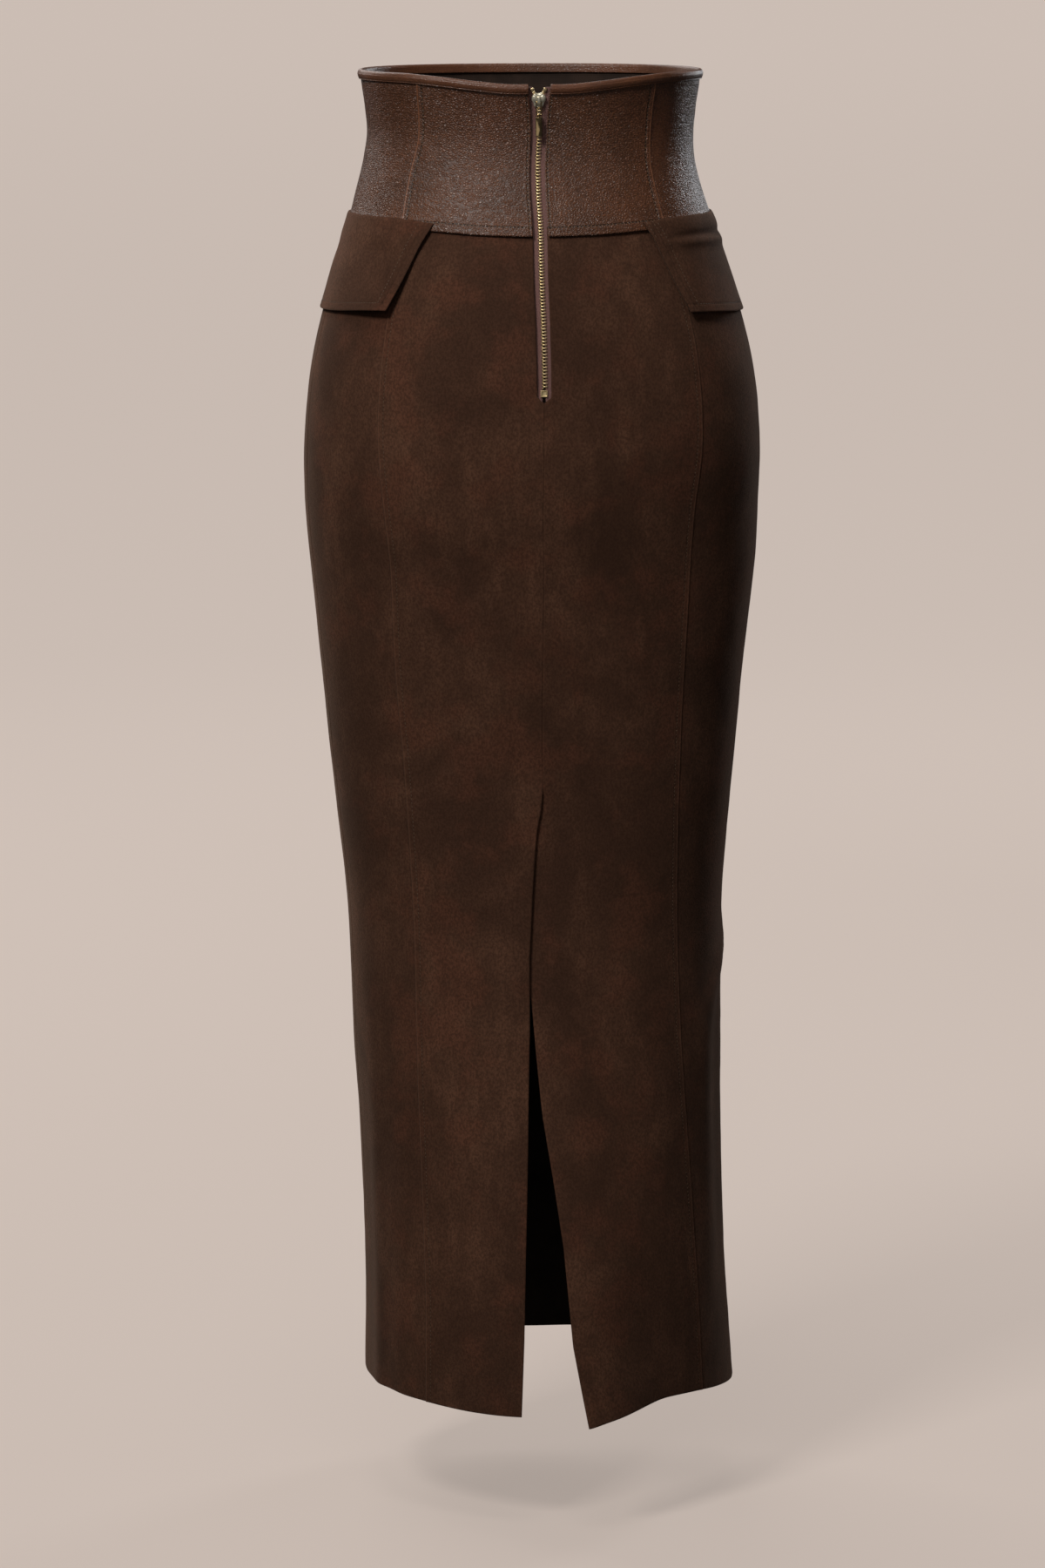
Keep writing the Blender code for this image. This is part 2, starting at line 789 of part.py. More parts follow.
def add_tapes_and_chain():
    for name, sign in (("zip_tape_left", 1), ("zip_tape_right", -1)):

        def columns(height, sign=sign):
            ends = (straight(TAPE_LINES, "height", "edge", height), TAPE_REACH)
            return [sign * between(ends, column / (TAPE_COLUMNS - 1)) for column in range(TAPE_COLUMNS)]

        add_zip_strip(name, TAPE_HEIGHTS, columns, TAPE_WALL, "tape")
    heights = [height for height in TAPE_HEIGHTS if CHAIN_END <= height <= CHAIN_TOP]
    half = 0.5 * CHAIN_WIDTH
    add_zip_strip("zip_chain", heights, lambda height: (-half, 0.0, half), CHAIN_HEIGHT, "gold")


def zip_frame(across, height):
    """A frame on the tape's middle plane: X across, Y out of the skirt, Z up along the zip."""
    angle = angle_at(across, height)
    up = upward(angle, height)
    side = Vector((1.0, 0.0, 0.0))
    out = up.cross(side)
    turn = Matrix((side, out, side.cross(out))).transposed().to_4x4()
    return Matrix.Translation(skin(angle, height, tape_plane(height))) @ turn


def prism(outline, axis, low, high):
    """Fills an outline given in the two other axes and draws it out along this one."""

    def build(work):
        points = []
        for first, second in outline:
            place = [first * MM, second * MM]
            place.insert(axis, low)
            points.append(work.verts.new(place))
        drawn = bmesh.ops.extrude_face_region(work, geom=[work.faces.new(points)])
        move = Vector((0.0, 0.0, 0.0))
        move[axis] = high - low
        far_points = [piece for piece in drawn["geom"] if isinstance(piece, bmesh.types.BMVert)]
        bmesh.ops.translate(work, verts=far_points, vec=move)

    return build


def block(size, centre=(0.0, 0.0, 0.0)):
    def build(work):
        place = Matrix.Translation(centre) @ Matrix.Diagonal((*size, 1.0))
        bmesh.ops.create_cube(work, size=1.0, matrix=place)

    return build


def rod(radius, length):
    """A cylinder along X."""

    def build(work):
        bmesh.ops.create_cone(
            work,
            cap_ends=True,
            segments=ROD_SIDES,
            radius1=radius,
            radius2=radius,
            depth=length,
            matrix=Matrix.Rotation(math.radians(90), 4, "Y"),
        )

    return build


def rounded(target, width):
    bevel = target.modifiers.new("rounded edges", "BEVEL")
    bevel.width = width
    bevel.segments = 2
    bevel.limit_method = "ANGLE"


def add_stops():
    bottom = add_mesh("zip_stop_bottom", block(STOP_SIZE), "gold")
    bottom.matrix_world = zip_frame(0.0, CHAIN_END - 0.5 * STOP_SIZE[2] - SEAM_GAP)
    rounded(bottom, STOP_ROUNDING)
    for name, sign in (("zip_stop_left", 1), ("zip_stop_right", -1)):
        stop = add_mesh(name, block(TOP_STOP_SIZE), "gold")
        stop.matrix_world = zip_frame(sign * TOP_STOP_X, TOP_STOP_HEIGHT)
        rounded(stop, STOP_ROUNDING)


def add_slider():
    """Two plates round a wedge, with the bridge that the pull's link hangs from."""
    outline = SLIDER_OUTLINE + tuple((-across, along) for across, along in reversed(SLIDER_OUTLINE))
    near, far = PLATE_STAND, PLATE_STAND + PLATE_WALL
    slider = add_mesh("zip_slider", prism(outline, 1, near, far), "gold")
    back_plate = add_cutter("slider_back_plate", prism(outline, 1, -far, -near))
    middle = 0.5 * (near + far)
    wedge = add_cutter("slider_wedge", prism(WEDGE_OUTLINE, 1, -middle, middle))
    bridge = add_cutter("slider_bridge", prism(BRIDGE_OUTLINE, 0, -0.5 * BRIDGE_WIDTH, 0.5 * BRIDGE_WIDTH))
    for piece in (slider, back_plate, wedge, bridge):
        piece.matrix_world = zip_frame(0.0, SLIDER_HEIGHT)
    for piece in (back_plate, wedge, bridge):
        boolean(slider, "UNION", piece)


def add_pull():
    """A wire link on the slider's bridge, and a bar on the link, each about its own hinge along X."""
    pivot = zip_frame(0.0, SLIDER_HEIGHT) @ Vector((0.0, PIVOT_OUT, PIVOT_ALONG))
    curve = bpy.data.curves.new("zip_link", "CURVE")
    curve.dimensions = "3D"
    curve.bevel_depth = LINK_WIRE
    curve.bevel_resolution = 2
    spline = curve.splines.new("POLY")
    points = []
    for across, foot, start in ((-1, 0, 180), (1, 0, 90), (1, 1, 0), (-1, 1, 270)):
        middle_x = across * (LINK_HALF_WIDTH - LINK_CORNER)
        middle_z = between((-LINK_CORNER, LINK_CORNER - LINK_LENGTH), foot)
        for step in range(CORNER_STEPS + 1):
            turn = math.radians(start - 90 * step / CORNER_STEPS)
            reach = LINK_CORNER * Vector((math.cos(turn), 0.0, math.sin(turn)))
            points.append(reach + Vector((middle_x, 0.0, middle_z)))
    spline.points.add(len(points) - 1)
    for vertex, point in zip(spline.points, points):
        vertex.co = (*point, 1.0)
    spline.use_cyclic_u = True
    link = add_object("zip_link", curve, "gold")
    link.location = pivot

    width, wall, length = BAR_SIZE
    bar = add_mesh("zip_bar", block(BAR_SIZE, (0.0, 0.0, -BAR_DROP - 0.5 * length)), "gold")
    neck_length = BAR_DROP + wall
    neck = add_cutter("bar_neck", block((EYE_WIDTH, wall, neck_length), (0.0, 0.0, -0.5 * neck_length)))
    eye = add_cutter("bar_eye", rod(EYE_OUTER, EYE_WIDTH))
    hole = add_cutter("bar_hole", rod(EYE_INNER, 2 * width))
    for piece in (bar, neck, eye, hole):
        piece.location = pivot - Vector((0.0, 0.0, LINK_LENGTH))
    rounded(bar, BAR_ROUNDING)
    boolean(bar, "UNION", neck)
    boolean(bar, "UNION", eye)
    boolean(bar, "DIFFERENCE", hole)


def main():
    clear_scene()
    add_waist()
    add_bindings()
    add_skirt()
    for name, flap in FLAPS.items():
        add_flap(name, flap)
    add_tapes_and_chain()
    add_stops()
    add_slider()
    add_pull()


main()
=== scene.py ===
import math
from bisect import bisect_right
from collections import namedtuple
from functools import lru_cache

import bpy
from bpy.props import FloatProperty, FloatVectorProperty, PointerProperty
from bpy.types import Operator, Panel, PropertyGroup
from mathutils import Matrix, Vector, noise


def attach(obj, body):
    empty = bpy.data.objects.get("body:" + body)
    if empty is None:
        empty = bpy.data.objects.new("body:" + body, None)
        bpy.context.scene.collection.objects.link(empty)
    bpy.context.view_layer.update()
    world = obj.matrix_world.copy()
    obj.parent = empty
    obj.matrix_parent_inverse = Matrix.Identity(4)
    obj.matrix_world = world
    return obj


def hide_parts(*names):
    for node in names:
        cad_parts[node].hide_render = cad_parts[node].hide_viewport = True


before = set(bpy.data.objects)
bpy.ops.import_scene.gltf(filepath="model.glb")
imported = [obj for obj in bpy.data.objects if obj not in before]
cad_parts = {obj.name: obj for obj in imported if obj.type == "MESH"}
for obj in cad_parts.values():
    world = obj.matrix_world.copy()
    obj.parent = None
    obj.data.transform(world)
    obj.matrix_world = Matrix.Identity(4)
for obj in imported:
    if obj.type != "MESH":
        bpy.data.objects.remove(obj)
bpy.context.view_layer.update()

bl_info = {
    "name": "Maxi Skirt",
    "version": (1, 0, 0),
    "blender": (4, 5, 0),
    "location": "View3D > Sidebar > Skirt",
    "description": "Dresses a suede maxi skirt with a leather corset waist, pocket flaps and a back zip",
    "category": "Object",
}

MM = 0.001
BODY = "skirt"

# ---- The form, as the frame's solids have it ----------------------------------------------------
# Angles are in degrees from the centre back, positive towards the skirt's own left (+X).


class Table(tuple):
    """Rows known by their own identity, so that what is read from them can be kept."""

    __slots__ = ()
    __hash__ = object.__hash__

    def __eq__(self, other):
        return self is other


def table(kind, *rows):
    return Table(kind(*row) for row in rows)


ROUNDNESS = 2.15  # 2 makes every ring an ellipse, and more squares it off
Ring = namedtuple("Ring", "height half_width shift back_depth front_depth")
RINGS = table(
    Ring,
    (0.060, 0.1340, 0.0000, 0.0970, 0.1030), (0.040, 0.1320, 0.0000, 0.0940, 0.1010),
    (0.020, 0.1292, 0.0000, 0.0900, 0.0980), (0.000, 0.1275, 0.0000, 0.0880, 0.0960),
    (-0.020, 0.1295, 0.0010, 0.0900, 0.0960), (-0.042, 0.1347, 0.0010, 0.0970, 0.0980),
    (-0.070, 0.1430, 0.0000, 0.1080, 0.1020), (-0.105, 0.1550, 0.0000, 0.1190, 0.1070),
    (-0.145, 0.1675, -0.0010, 0.1280, 0.1120), (-0.190, 0.1772, -0.0015, 0.1335, 0.1155),
    (-0.245, 0.1818, -0.0015, 0.1355, 0.1170), (-0.290, 0.1812, -0.0010, 0.1325, 0.1160),
    (-0.340, 0.1780, -0.0020, 0.1260, 0.1130), (-0.430, 0.1684, -0.0015, 0.1190, 0.1100),
    (-0.515, 0.1605, -0.0020, 0.1150, 0.1100), (-0.590, 0.1529, -0.0030, 0.1155, 0.1130),
    (-0.635, 0.1502, -0.0040, 0.1180, 0.1170), (-0.720, 0.1486, -0.0055, 0.1260, 0.1260),
    (-0.810, 0.1460, -0.0085, 0.1370, 0.1370), (-0.900, 0.1460, -0.0115, 0.1460, 0.1460),
    (-1.020, 0.1498, -0.0155, 0.1510, 0.1500),
)

# Heights of edges that run round the skirt, by the angle on either side.
Edge = namedtuple("Edge", "angle height")
TOP_EDGE = table(
    Edge,
    (0, 0.0420), (15, 0.0420), (30, 0.0445), (45, 0.0475), (60, 0.0495),
    (180, 0.0495),
)
LEATHER_EDGE = table(
    Edge,
    (0, -0.0755), (24, -0.0742), (42, -0.0720), (70, -0.0700), (180, -0.0700),
)
HEM_LEFT = table(
    Edge,
    (0, -1.0070), (20, -1.0060), (37, -1.0045), (50, -1.0025), (62, -1.0007),
    (83, -1.0010), (130, -1.0055), (180, -1.0060),
)
HEM_RIGHT = table(
    Edge,
    (0, -1.0120), (6, -1.0120), (12, -1.0080), (30, -1.0000), (45, -0.9998),
    (60, -1.0035), (83, -1.0085), (130, -1.0065), (180, -1.0060),
)

# Seams that run down the skirt: the angle on the left and on the right at each height.
Seam = namedtuple("Seam", "height left right")
SIDE_SEAM = table(Seam, (0.060, 83, -83), (-1.020, 83, -83))
LEATHER_SEAM = table(
    Seam,
    (0.045, 53.0, -52.5), (0.000, 55.0, -53.3), (-0.030, 56.0, -52.6),
    (-0.080, 53.5, -50.0),
)
SKIRT_SEAM = table(
    Seam,
    (-0.060, 52.0, -51.5), (-0.225, 52.0, -51.5), (-0.300, 50.3, -49.7),
    (-0.410, 51.1, -50.9), (-0.500, 50.2, -51.6), (-0.610, 49.0, -51.6),
    (-0.710, 47.2, -50.6), (-0.810, 45.2, -50.5), (-0.910, 43.5, -50.5),
    (-1.020, 44.0, -50.0),
)
LEATHER_OPENING = table(  # distances across from the centre back
    Seam,
    (0.045, 8.6 * MM, -9.4 * MM), (0.012, 6.2 * MM, -6.4 * MM), (-0.080, 6.1 * MM, -6.1 * MM),
)
SUEDE_OPENING = 5.5 * MM
ZIP_END = -0.2000
ZIP_END_SLOPE = 2 * MM
SLIT_TOP = -0.5070
SLIT = table(
    Seam,
    (SLIT_TOP, 0.0, 0.0), (-0.514, 0.3, 0.0), (-0.525, 0.8, 2.6),
    (-0.541, 2.5, 4.6), (-0.560, 3.4, 6.0), (-0.594, 4.7, 8.0),
    (-0.643, 6.3, 8.0), (-0.680, 6.4, 5.6), (-0.700, 6.5, 4.9),
    (-0.766, 7.6, 2.9), (-0.822, 8.5, 0.0), (-0.869, 9.3, -1.9),
    (-0.946, 10.6, -3.2), (-1.012, 12.1, -6.4), (-1.030, 12.4, -6.8),
)
SLIT_SWING = table(  # how far each back panel stands out from the form at its slit edge
    Seam,
    (SLIT_TOP, 0.0, 0.0), (-0.514, 1.6 * MM, -0.6 * MM), (-0.541, 2.3 * MM, -0.6 * MM),
    (-0.650, 3.0 * MM, -0.5 * MM), (-0.700, 3.5 * MM, 0.6 * MM), (-0.820, 5.0 * MM, 8.0 * MM),
    (-0.920, 6.5 * MM, 20.0 * MM), (-1.020, 8.0 * MM, 30.0 * MM),
)
SWING_REACH = 30  # degrees
SEAM_GAP = -0.3 * MM  # the sheets lap a little, so that no light shows through a seam

# Soft folds down the lower skirt: ridges, or troughs where the rise is below zero.
Fold = namedtuple("Fold", "width path")
Bend = namedtuple("Bend", "height angle rise")
FOLDS = tuple(
    Fold(width, table(Bend, *path))
    for width, path in (
        (6, ((-0.60, 68, 0), (-0.78, 67, 1.8 * MM), (-1.03, 66, 3.0 * MM))),
        (6, ((-0.70, 56, 0), (-0.88, 55, 1.2 * MM), (-1.03, 54, 2.0 * MM))),
        (
            6,
            (
                (-0.620, -92, 0), (-0.645, -86, 2.2 * MM), (-0.690, -68, 3.0 * MM),
                (-0.730, -63, 3.0 * MM), (-0.870, -60, 2.0 * MM), (-0.940, -59, 0),
            ),
        ),
        (7, ((-0.66, -76, 0), (-0.74, -73, -2.0 * MM), (-0.86, -71, -1.6 * MM), (-0.96, -70, 0))),
        (9, ((-0.60, 140, 0), (-0.80, 142, 3.0 * MM), (-1.03, 144, 5.0 * MM))),
        (9, ((-0.56, -138, 0), (-0.80, -140, 3.5 * MM), (-1.03, -143, 5.5 * MM))),
        (12, ((-0.66, 178, 0), (-0.85, 179, -3.0 * MM), (-1.03, 180, -5.0 * MM))),
    )
)

FLAP_LIFT_TOP = 2.3 * MM
FLAP_LIFT_LOW = 0.9 * MM
FLAP_TOP = table(Edge, (42, -0.0662), (51, -0.0640), (64, -0.0625), (110, -0.0625))
FLAP_BOTTOM = table(
    Edge,
    (42, -0.1340), (51, -0.1346), (61, -0.1355), (76, -0.1375), (110, -0.1390),
)
FlapEnd = namedtuple("FlapEnd", "down back front")
FLAP_ENDS = table(
    FlapEnd,
    (0.00, 41.5, 108.0), (0.30, 45.1, 105.0), (0.62, 47.6, 101.8), (1.00, 51.0, 98.0),
)
Flap = namedtuple("Flap", "side corner_lift drop")
FLAPS = {
    "left": Flap(1, 6.0 * MM, 0.0),
    "right": Flap(-1, 1.8 * MM, 2.0 * MM),
}
FLAP_CURL = 16  # degrees
FLAP_SETTLES = (-0.8, 3.8)

TapeLine = namedtuple("TapeLine", "height plane edge")
TAPE_LINES = table(
    TapeLine,
    (0.0398, -1.5 * MM, 5.0 * MM), (0.0355, -1.5 * MM, 4.9 * MM), (0.0325, -1.3 * MM, 3.6 * MM),
    (0.0270, -0.9 * MM, 1.2 * MM), (-0.0400, -0.9 * MM, 1.2 * MM), (-0.0650, -2.7 * MM, 1.2 * MM),
    (-0.2060, -2.7 * MM, 1.2 * MM),
)
TAPE_REACH = 15 * MM
CHAIN_TOP = 0.0246
CHAIN_END = -0.1920
SLIDER_HEIGHT = 0.0302
NEAR_ANGLE = 1.0  # degrees and metres to the neighbouring points that give the form's normal
NEAR_HEIGHT = 0.004
FINE_STEP = 0.05 * MM  # rings and folds are worked out once for each step of height


# ---- Sizes and colours that a user may change ---------------------------------------------------


def length(name, text, default):
    return FloatProperty(name=name, description=text, default=default, unit="LENGTH", min=0.0, precision=5)


def colour(name, text, default):
    return FloatVectorProperty(name=name, description=text, default=default, subtype="COLOR", min=0.0, max=1.0)


class SkirtSizes(PropertyGroup):
    """Sizes of the materials, the stitches and the zip"""

    suede_wall: length("Suede", "Thickness of the skirt's suede", 1.5 * MM)
    leather_wall: length("Leather", "Thickness of the waist's leather", 1.3 * MM)
    leather_lift: length("Leather lift", "Room between the suede's face and the leather", 0.5 * MM)
    lap: length("Lap", "How far the suede runs up behind the leather", 8 * MM)
    flap_wall: length("Flap", "Thickness of a turned pocket flap", 1.8 * MM)
    rim_depth: length("Rim", "Height of the bound top edge", 6.5 * MM)
    rim_wall: length("Rim wall", "Thickness of the binding leather", 0.7 * MM)
    tape_wall: length("Tape", "Thickness of the zip tape", 0.9 * MM)
    thread: length("Thread", "Thickness of the topstitching thread", 0.52 * MM)
    stitch: length("Stitch", "Length of one stitch", 2.5 * MM)
    stitch_gap: length("Stitch gap", "Gap between two stitches", 0.55 * MM)
    zip_pitch: length("Zip pitch", "Distance between the teeth on one tape", 2.5 * MM)


class SkirtColours(PropertyGroup):
    """Colours of the materials and the studio"""

    leather: colour("Leather", "Pebbled waist leather", (0.158, 0.063, 0.031))
    suede: colour("Suede", "Napped skirt suede", (0.118, 0.054, 0.032))
    thread: colour("Thread", "Topstitching thread", (0.270, 0.150, 0.080))
    tape: colour("Tape", "Woven zip tape", (0.250, 0.125, 0.108))
    gold: colour("Gold", "Zip metal", (0.980, 0.770, 0.430))
    lining: colour("Lining", "Backing inside the skirt", (0.030, 0.018, 0.013))
    studio: colour("Studio", "Floor and what lies beyond it", (0.597, 0.509, 0.456))


# ---- Reading the form ---------------------------------------------------------------------------


@lru_cache(maxsize=None)
def columns_of(rows, key, value):
    pairs = sorted((getattr(row, key), getattr(row, value)) for row in rows)
    return [pair[0] for pair in pairs], [pair[1] for pair in pairs]


def span_at(places, at):
    """The index of the row before this place, and the share of the way to the next one."""
    index = min(max(bisect_right(places, at) - 1, 0), len(places) - 2)
    share = (at - places[index]) / (places[index + 1] - places[index])
    return index, min(max(share, 0.0), 1.0)


def straight(rows, key, value, at):
    """The table read at one place, with straight lines between its rows."""
    places, values = columns_of(rows, key, value)
    index, share = span_at(places, at)
    return values[index] * (1 - share) + values[index + 1] * share


@lru_cache(maxsize=200000)
def smooth(rows, key, value, at):
    """The table read at one place, on the smooth curve through its rows."""
    places, values = columns_of(rows, key, value)
    index, share = span_at(places, at)

    def slope(row):
        before, after = max(row - 1, 0), min(row + 1, len(places) - 1)
        return (values[after] - values[before]) / (places[after] - places[before])

    span = places[index + 1] - places[index]
    return (
        (2 * share**3 - 3 * share**2 + 1) * values[index]
        + (share**3 - 2 * share**2 + share) * span * slope(index)
        + (3 * share**2 - 2 * share**3) * values[index + 1]
        + (share**3 - share**2) * span * slope(index + 1)
    )


def turned(angle):
    """The angle brought between -180 and 180."""
    return (angle + 180) % 360 - 180


def between(ends, share):
    return ends[0] + (ends[1] - ends[0]) * share


def bell(away, width):
    return math.exp(-((away / width) ** 2))


def eased(share):
    share = min(max(share, 0.0), 1.0)
    return share * share * (3 - 2 * share)


def ring_at(height):
    return kept_ring(round(height / FINE_STEP))


@lru_cache(maxsize=None)
def kept_ring(step):
    height = step * FINE_STEP
    return Ring(height, *(smooth(RINGS, "height", name, height) for name in Ring._fields[1:]))


def folds_at(height):
    """The angle, rise and width of each fold that shows at this height."""
    return kept_folds(round(height / FINE_STEP))


@lru_cache(maxsize=None)
def kept_folds(step):
    height = step * FINE_STEP
    found = [
        (
            smooth(fold.path, "height", "angle", height),
            straight(fold.path, "height", "rise", height),
            fold.width,
        )
        for fold in FOLDS
    ]
    return [fold for fold in found if fold[1]]


def form_point(angle, height):
    """A point of the form, which is the suede's outer face."""
    ring = ring_at(height)
    sine, cosine = math.sin(math.radians(angle)), math.cos(math.radians(angle))
    depth = ring.back_depth if cosine > 0 else ring.front_depth
    power = (abs(sine) / ring.half_width) ** ROUNDNESS + (abs(cosine) / depth) ** ROUNDNESS
    rise = sum(rise * bell(turned(angle - middle), width) for middle, rise, width in folds_at(height))
    radius = power ** (-1 / ROUNDNESS) + rise
    return Vector((ring.shift + radius * sine, radius * cosine, height))


def upward(angle, height):
    """The direction up the form's slope."""
    higher, lower = height + NEAR_HEIGHT, height - NEAR_HEIGHT
    return (form_point(angle, higher) - form_point(angle, lower)).normalized()


def outward(angle, height):
    """The form's normal."""
    across = form_point(angle + NEAR_ANGLE, height) - form_point(angle - NEAR_ANGLE, height)
    return upward(angle, height).cross(across).normalized()


def skin(angle, height, stand_off):
    return form_point(angle, height) + outward(angle, height) * stand_off


@lru_cache(maxsize=None)
def degree_at(angle, height):
    """The length of one degree round the form."""
    return (form_point(angle + 0.5, height) - form_point(angle - 0.5, height)).length


def angle_at(across, height):
    """The angle of a point that lies this far across from the centre back."""
    return math.degrees(math.atan2(across, ring_at(height).back_depth))


def edge_height(edge, angle):
    return smooth(edge, "angle", "height", round(abs(turned(angle)), 2))


def hem_height(angle):
    return edge_height(HEM_LEFT if turned(angle) > 0 else HEM_RIGHT, angle)


def seam_edge(seam, side, inset):
    """The angle of one side's seam at a height, moved by half of the seam's gap towards inset."""

    def angle(height):
        half_gap = math.degrees(0.5 * SEAM_GAP / ring_at(height).back_depth)
        return smooth(seam, "height", side, height) + inset * half_gap

    return angle


def around_front(edge):
    return lambda height: edge(height) + 360


def leather_opening(side):
    return lambda height: angle_at(smooth(LEATHER_OPENING, "height", side, height), height)


def suede_opening(side, sign):
    """The centre-back edge of a back panel: beside the zip, then the seam, then the slit."""

    def angle(height):
        seam = angle_at(sign * 0.5 * SEAM_GAP, height) + straight(SLIT, "height", side, height)
        beside_zip = angle_at(sign * SUEDE_OPENING, height)
        closed = (height - ZIP_END + ZIP_END_SLOPE) / (2 * ZIP_END_SLOPE)
        return between((seam, beside_zip), min(max(closed, 0.0), 1.0))

    return angle


def slit_swing(side, sign):
    """How far a back panel stands out near its slit edge."""
    edge = suede_opening(side, sign)

    def stand_off(angle, height):
        away = sign * (angle - edge(height))
        return straight(SLIT_SWING, "height", side, height) * eased(1 - away / SWING_REACH)

    return stand_off


# ---- Cloth relief -------------------------------------------------------------------------------

# How a sheet behaves near one of its edges: how deep and how far in the edge turns under, how much
# a doubled margin lifts it, how far in the line of stitches runs, or 0 for none, how deep the thread
# pulls it in, and how high the edge's ridge is.
Margin = namedtuple("Margin", "turn reach lift stitch sink ridge")
LAPPED = Margin(0.30 * MM, 0.4 * MM, 0.36 * MM, 4.8 * MM, 0.66 * MM, 0.46 * MM)
TOPSTITCHED = Margin(0.30 * MM, 0.4 * MM, 0.25 * MM, 5.0 * MM, 0.32 * MM, 0.34 * MM)
TUCKED = Margin(0.42 * MM, 0.8 * MM, 0.0, 0.0, 0.0, 0.0)
JOINED = Margin(0.32 * MM, 0.5 * MM, 0.0, 0.0, 0.0, 0.12 * MM)
EDGED = Margin(0.30 * MM, 0.5 * MM, 0.35 * MM, 1.9 * MM, 0.55 * MM, 0.0)
FACED = Margin(0.35 * MM, 0.6 * MM, 0.60 * MM, 6.8 * MM, 0.65 * MM, 0.10 * MM)
SOFT = Margin(0.20 * MM, 0.5 * MM, 0.0, 0.0, 0.0, 0.0)
SHADE_OF_LIFT = 0.25  # how much of a lifted margin is painted as a highlight
STITCH_WIDTH = 0.75 * MM
MARGIN_EASE = 2.5 * MM
PUCKER = 0.16 * MM
PUCKER_REACH = 11 * MM
PUCKERS = 95.0  # a metre

# A crease is a line on the form from one angle and height to another.
Crease = namedtuple("Crease", "angle height end_angle end_height width depth")
CREASE_REACH = 0.08  # a crease counts within this height and this many degrees of its start
CREASE_SPREAD = 40
CREASE_RADIUS = 0.12  # about the form's, to measure along it
CREASES = (
    Crease(9.6, -0.5170, 2.2, -0.5125, 1.6 * MM, -0.9 * MM),
    Crease(9.2, -0.5135, 2.6, -0.5090, 1.8 * MM, 0.7 * MM),
    Crease(-38.0, -0.0800, -60.0, -0.0855, 3.0 * MM, 0.6 * MM),
    Crease(60.0, -0.3600, 66.0, -0.4100, 9.0 * MM, -0.5 * MM),
    Crease(3.5, -0.2040, 9.0, -0.2150, 3.0 * MM, -0.35 * MM),
    Crease(-3.5, -0.2040, -9.0, -0.2120, 3.0 * MM, -0.35 * MM),
)


def margin_relief(margin, away):
    """How far a sheet stands out or dips at this distance from an edge, and its painted shade and highlight: painted
    shade where the edge turns under and in the stitch groove, a painted highlight on the ridge and the lifted
    margin.
    """
    shade = margin.ridge * bell(away - 1.1 * MM, 0.7 * MM) - margin.turn * bell(away, margin.reach)
    lift = 0.0
    if margin.stitch:
        lift = margin.lift * (1 - eased((away - margin.stitch) / MARGIN_EASE))
        shade -= margin.sink * bell(away - margin.stitch, STITCH_WIDTH)
    return Vector((shade + lift, shade + SHADE_OF_LIFT * lift))


def crease_relief(angle, height):
    total = 0.0
    for crease in CREASES:
        if abs(height - crease.height) > CREASE_REACH or abs(turned(angle - crease.angle)) > CREASE_SPREAD:
            continue
        degree = math.radians(CREASE_RADIUS)
        line = Vector(((crease.end_angle - crease.angle) * degree, crease.end_height - crease.height))
        place = Vector((turned(angle - crease.angle) * degree, height - crease.height))
        along = min(max(place.dot(line) / line.length_squared, 0.0), 1.0)
        away = (place - line * along).length
        total += crease.depth * bell(away, crease.width) * math.sin(math.pi * (0.15 + 0.7 * along))
    return total


def unevenness(point, depth, size):
    """Slow, soft unevenness of a hand-cut hide."""
    return depth * noise.noise(point / size)


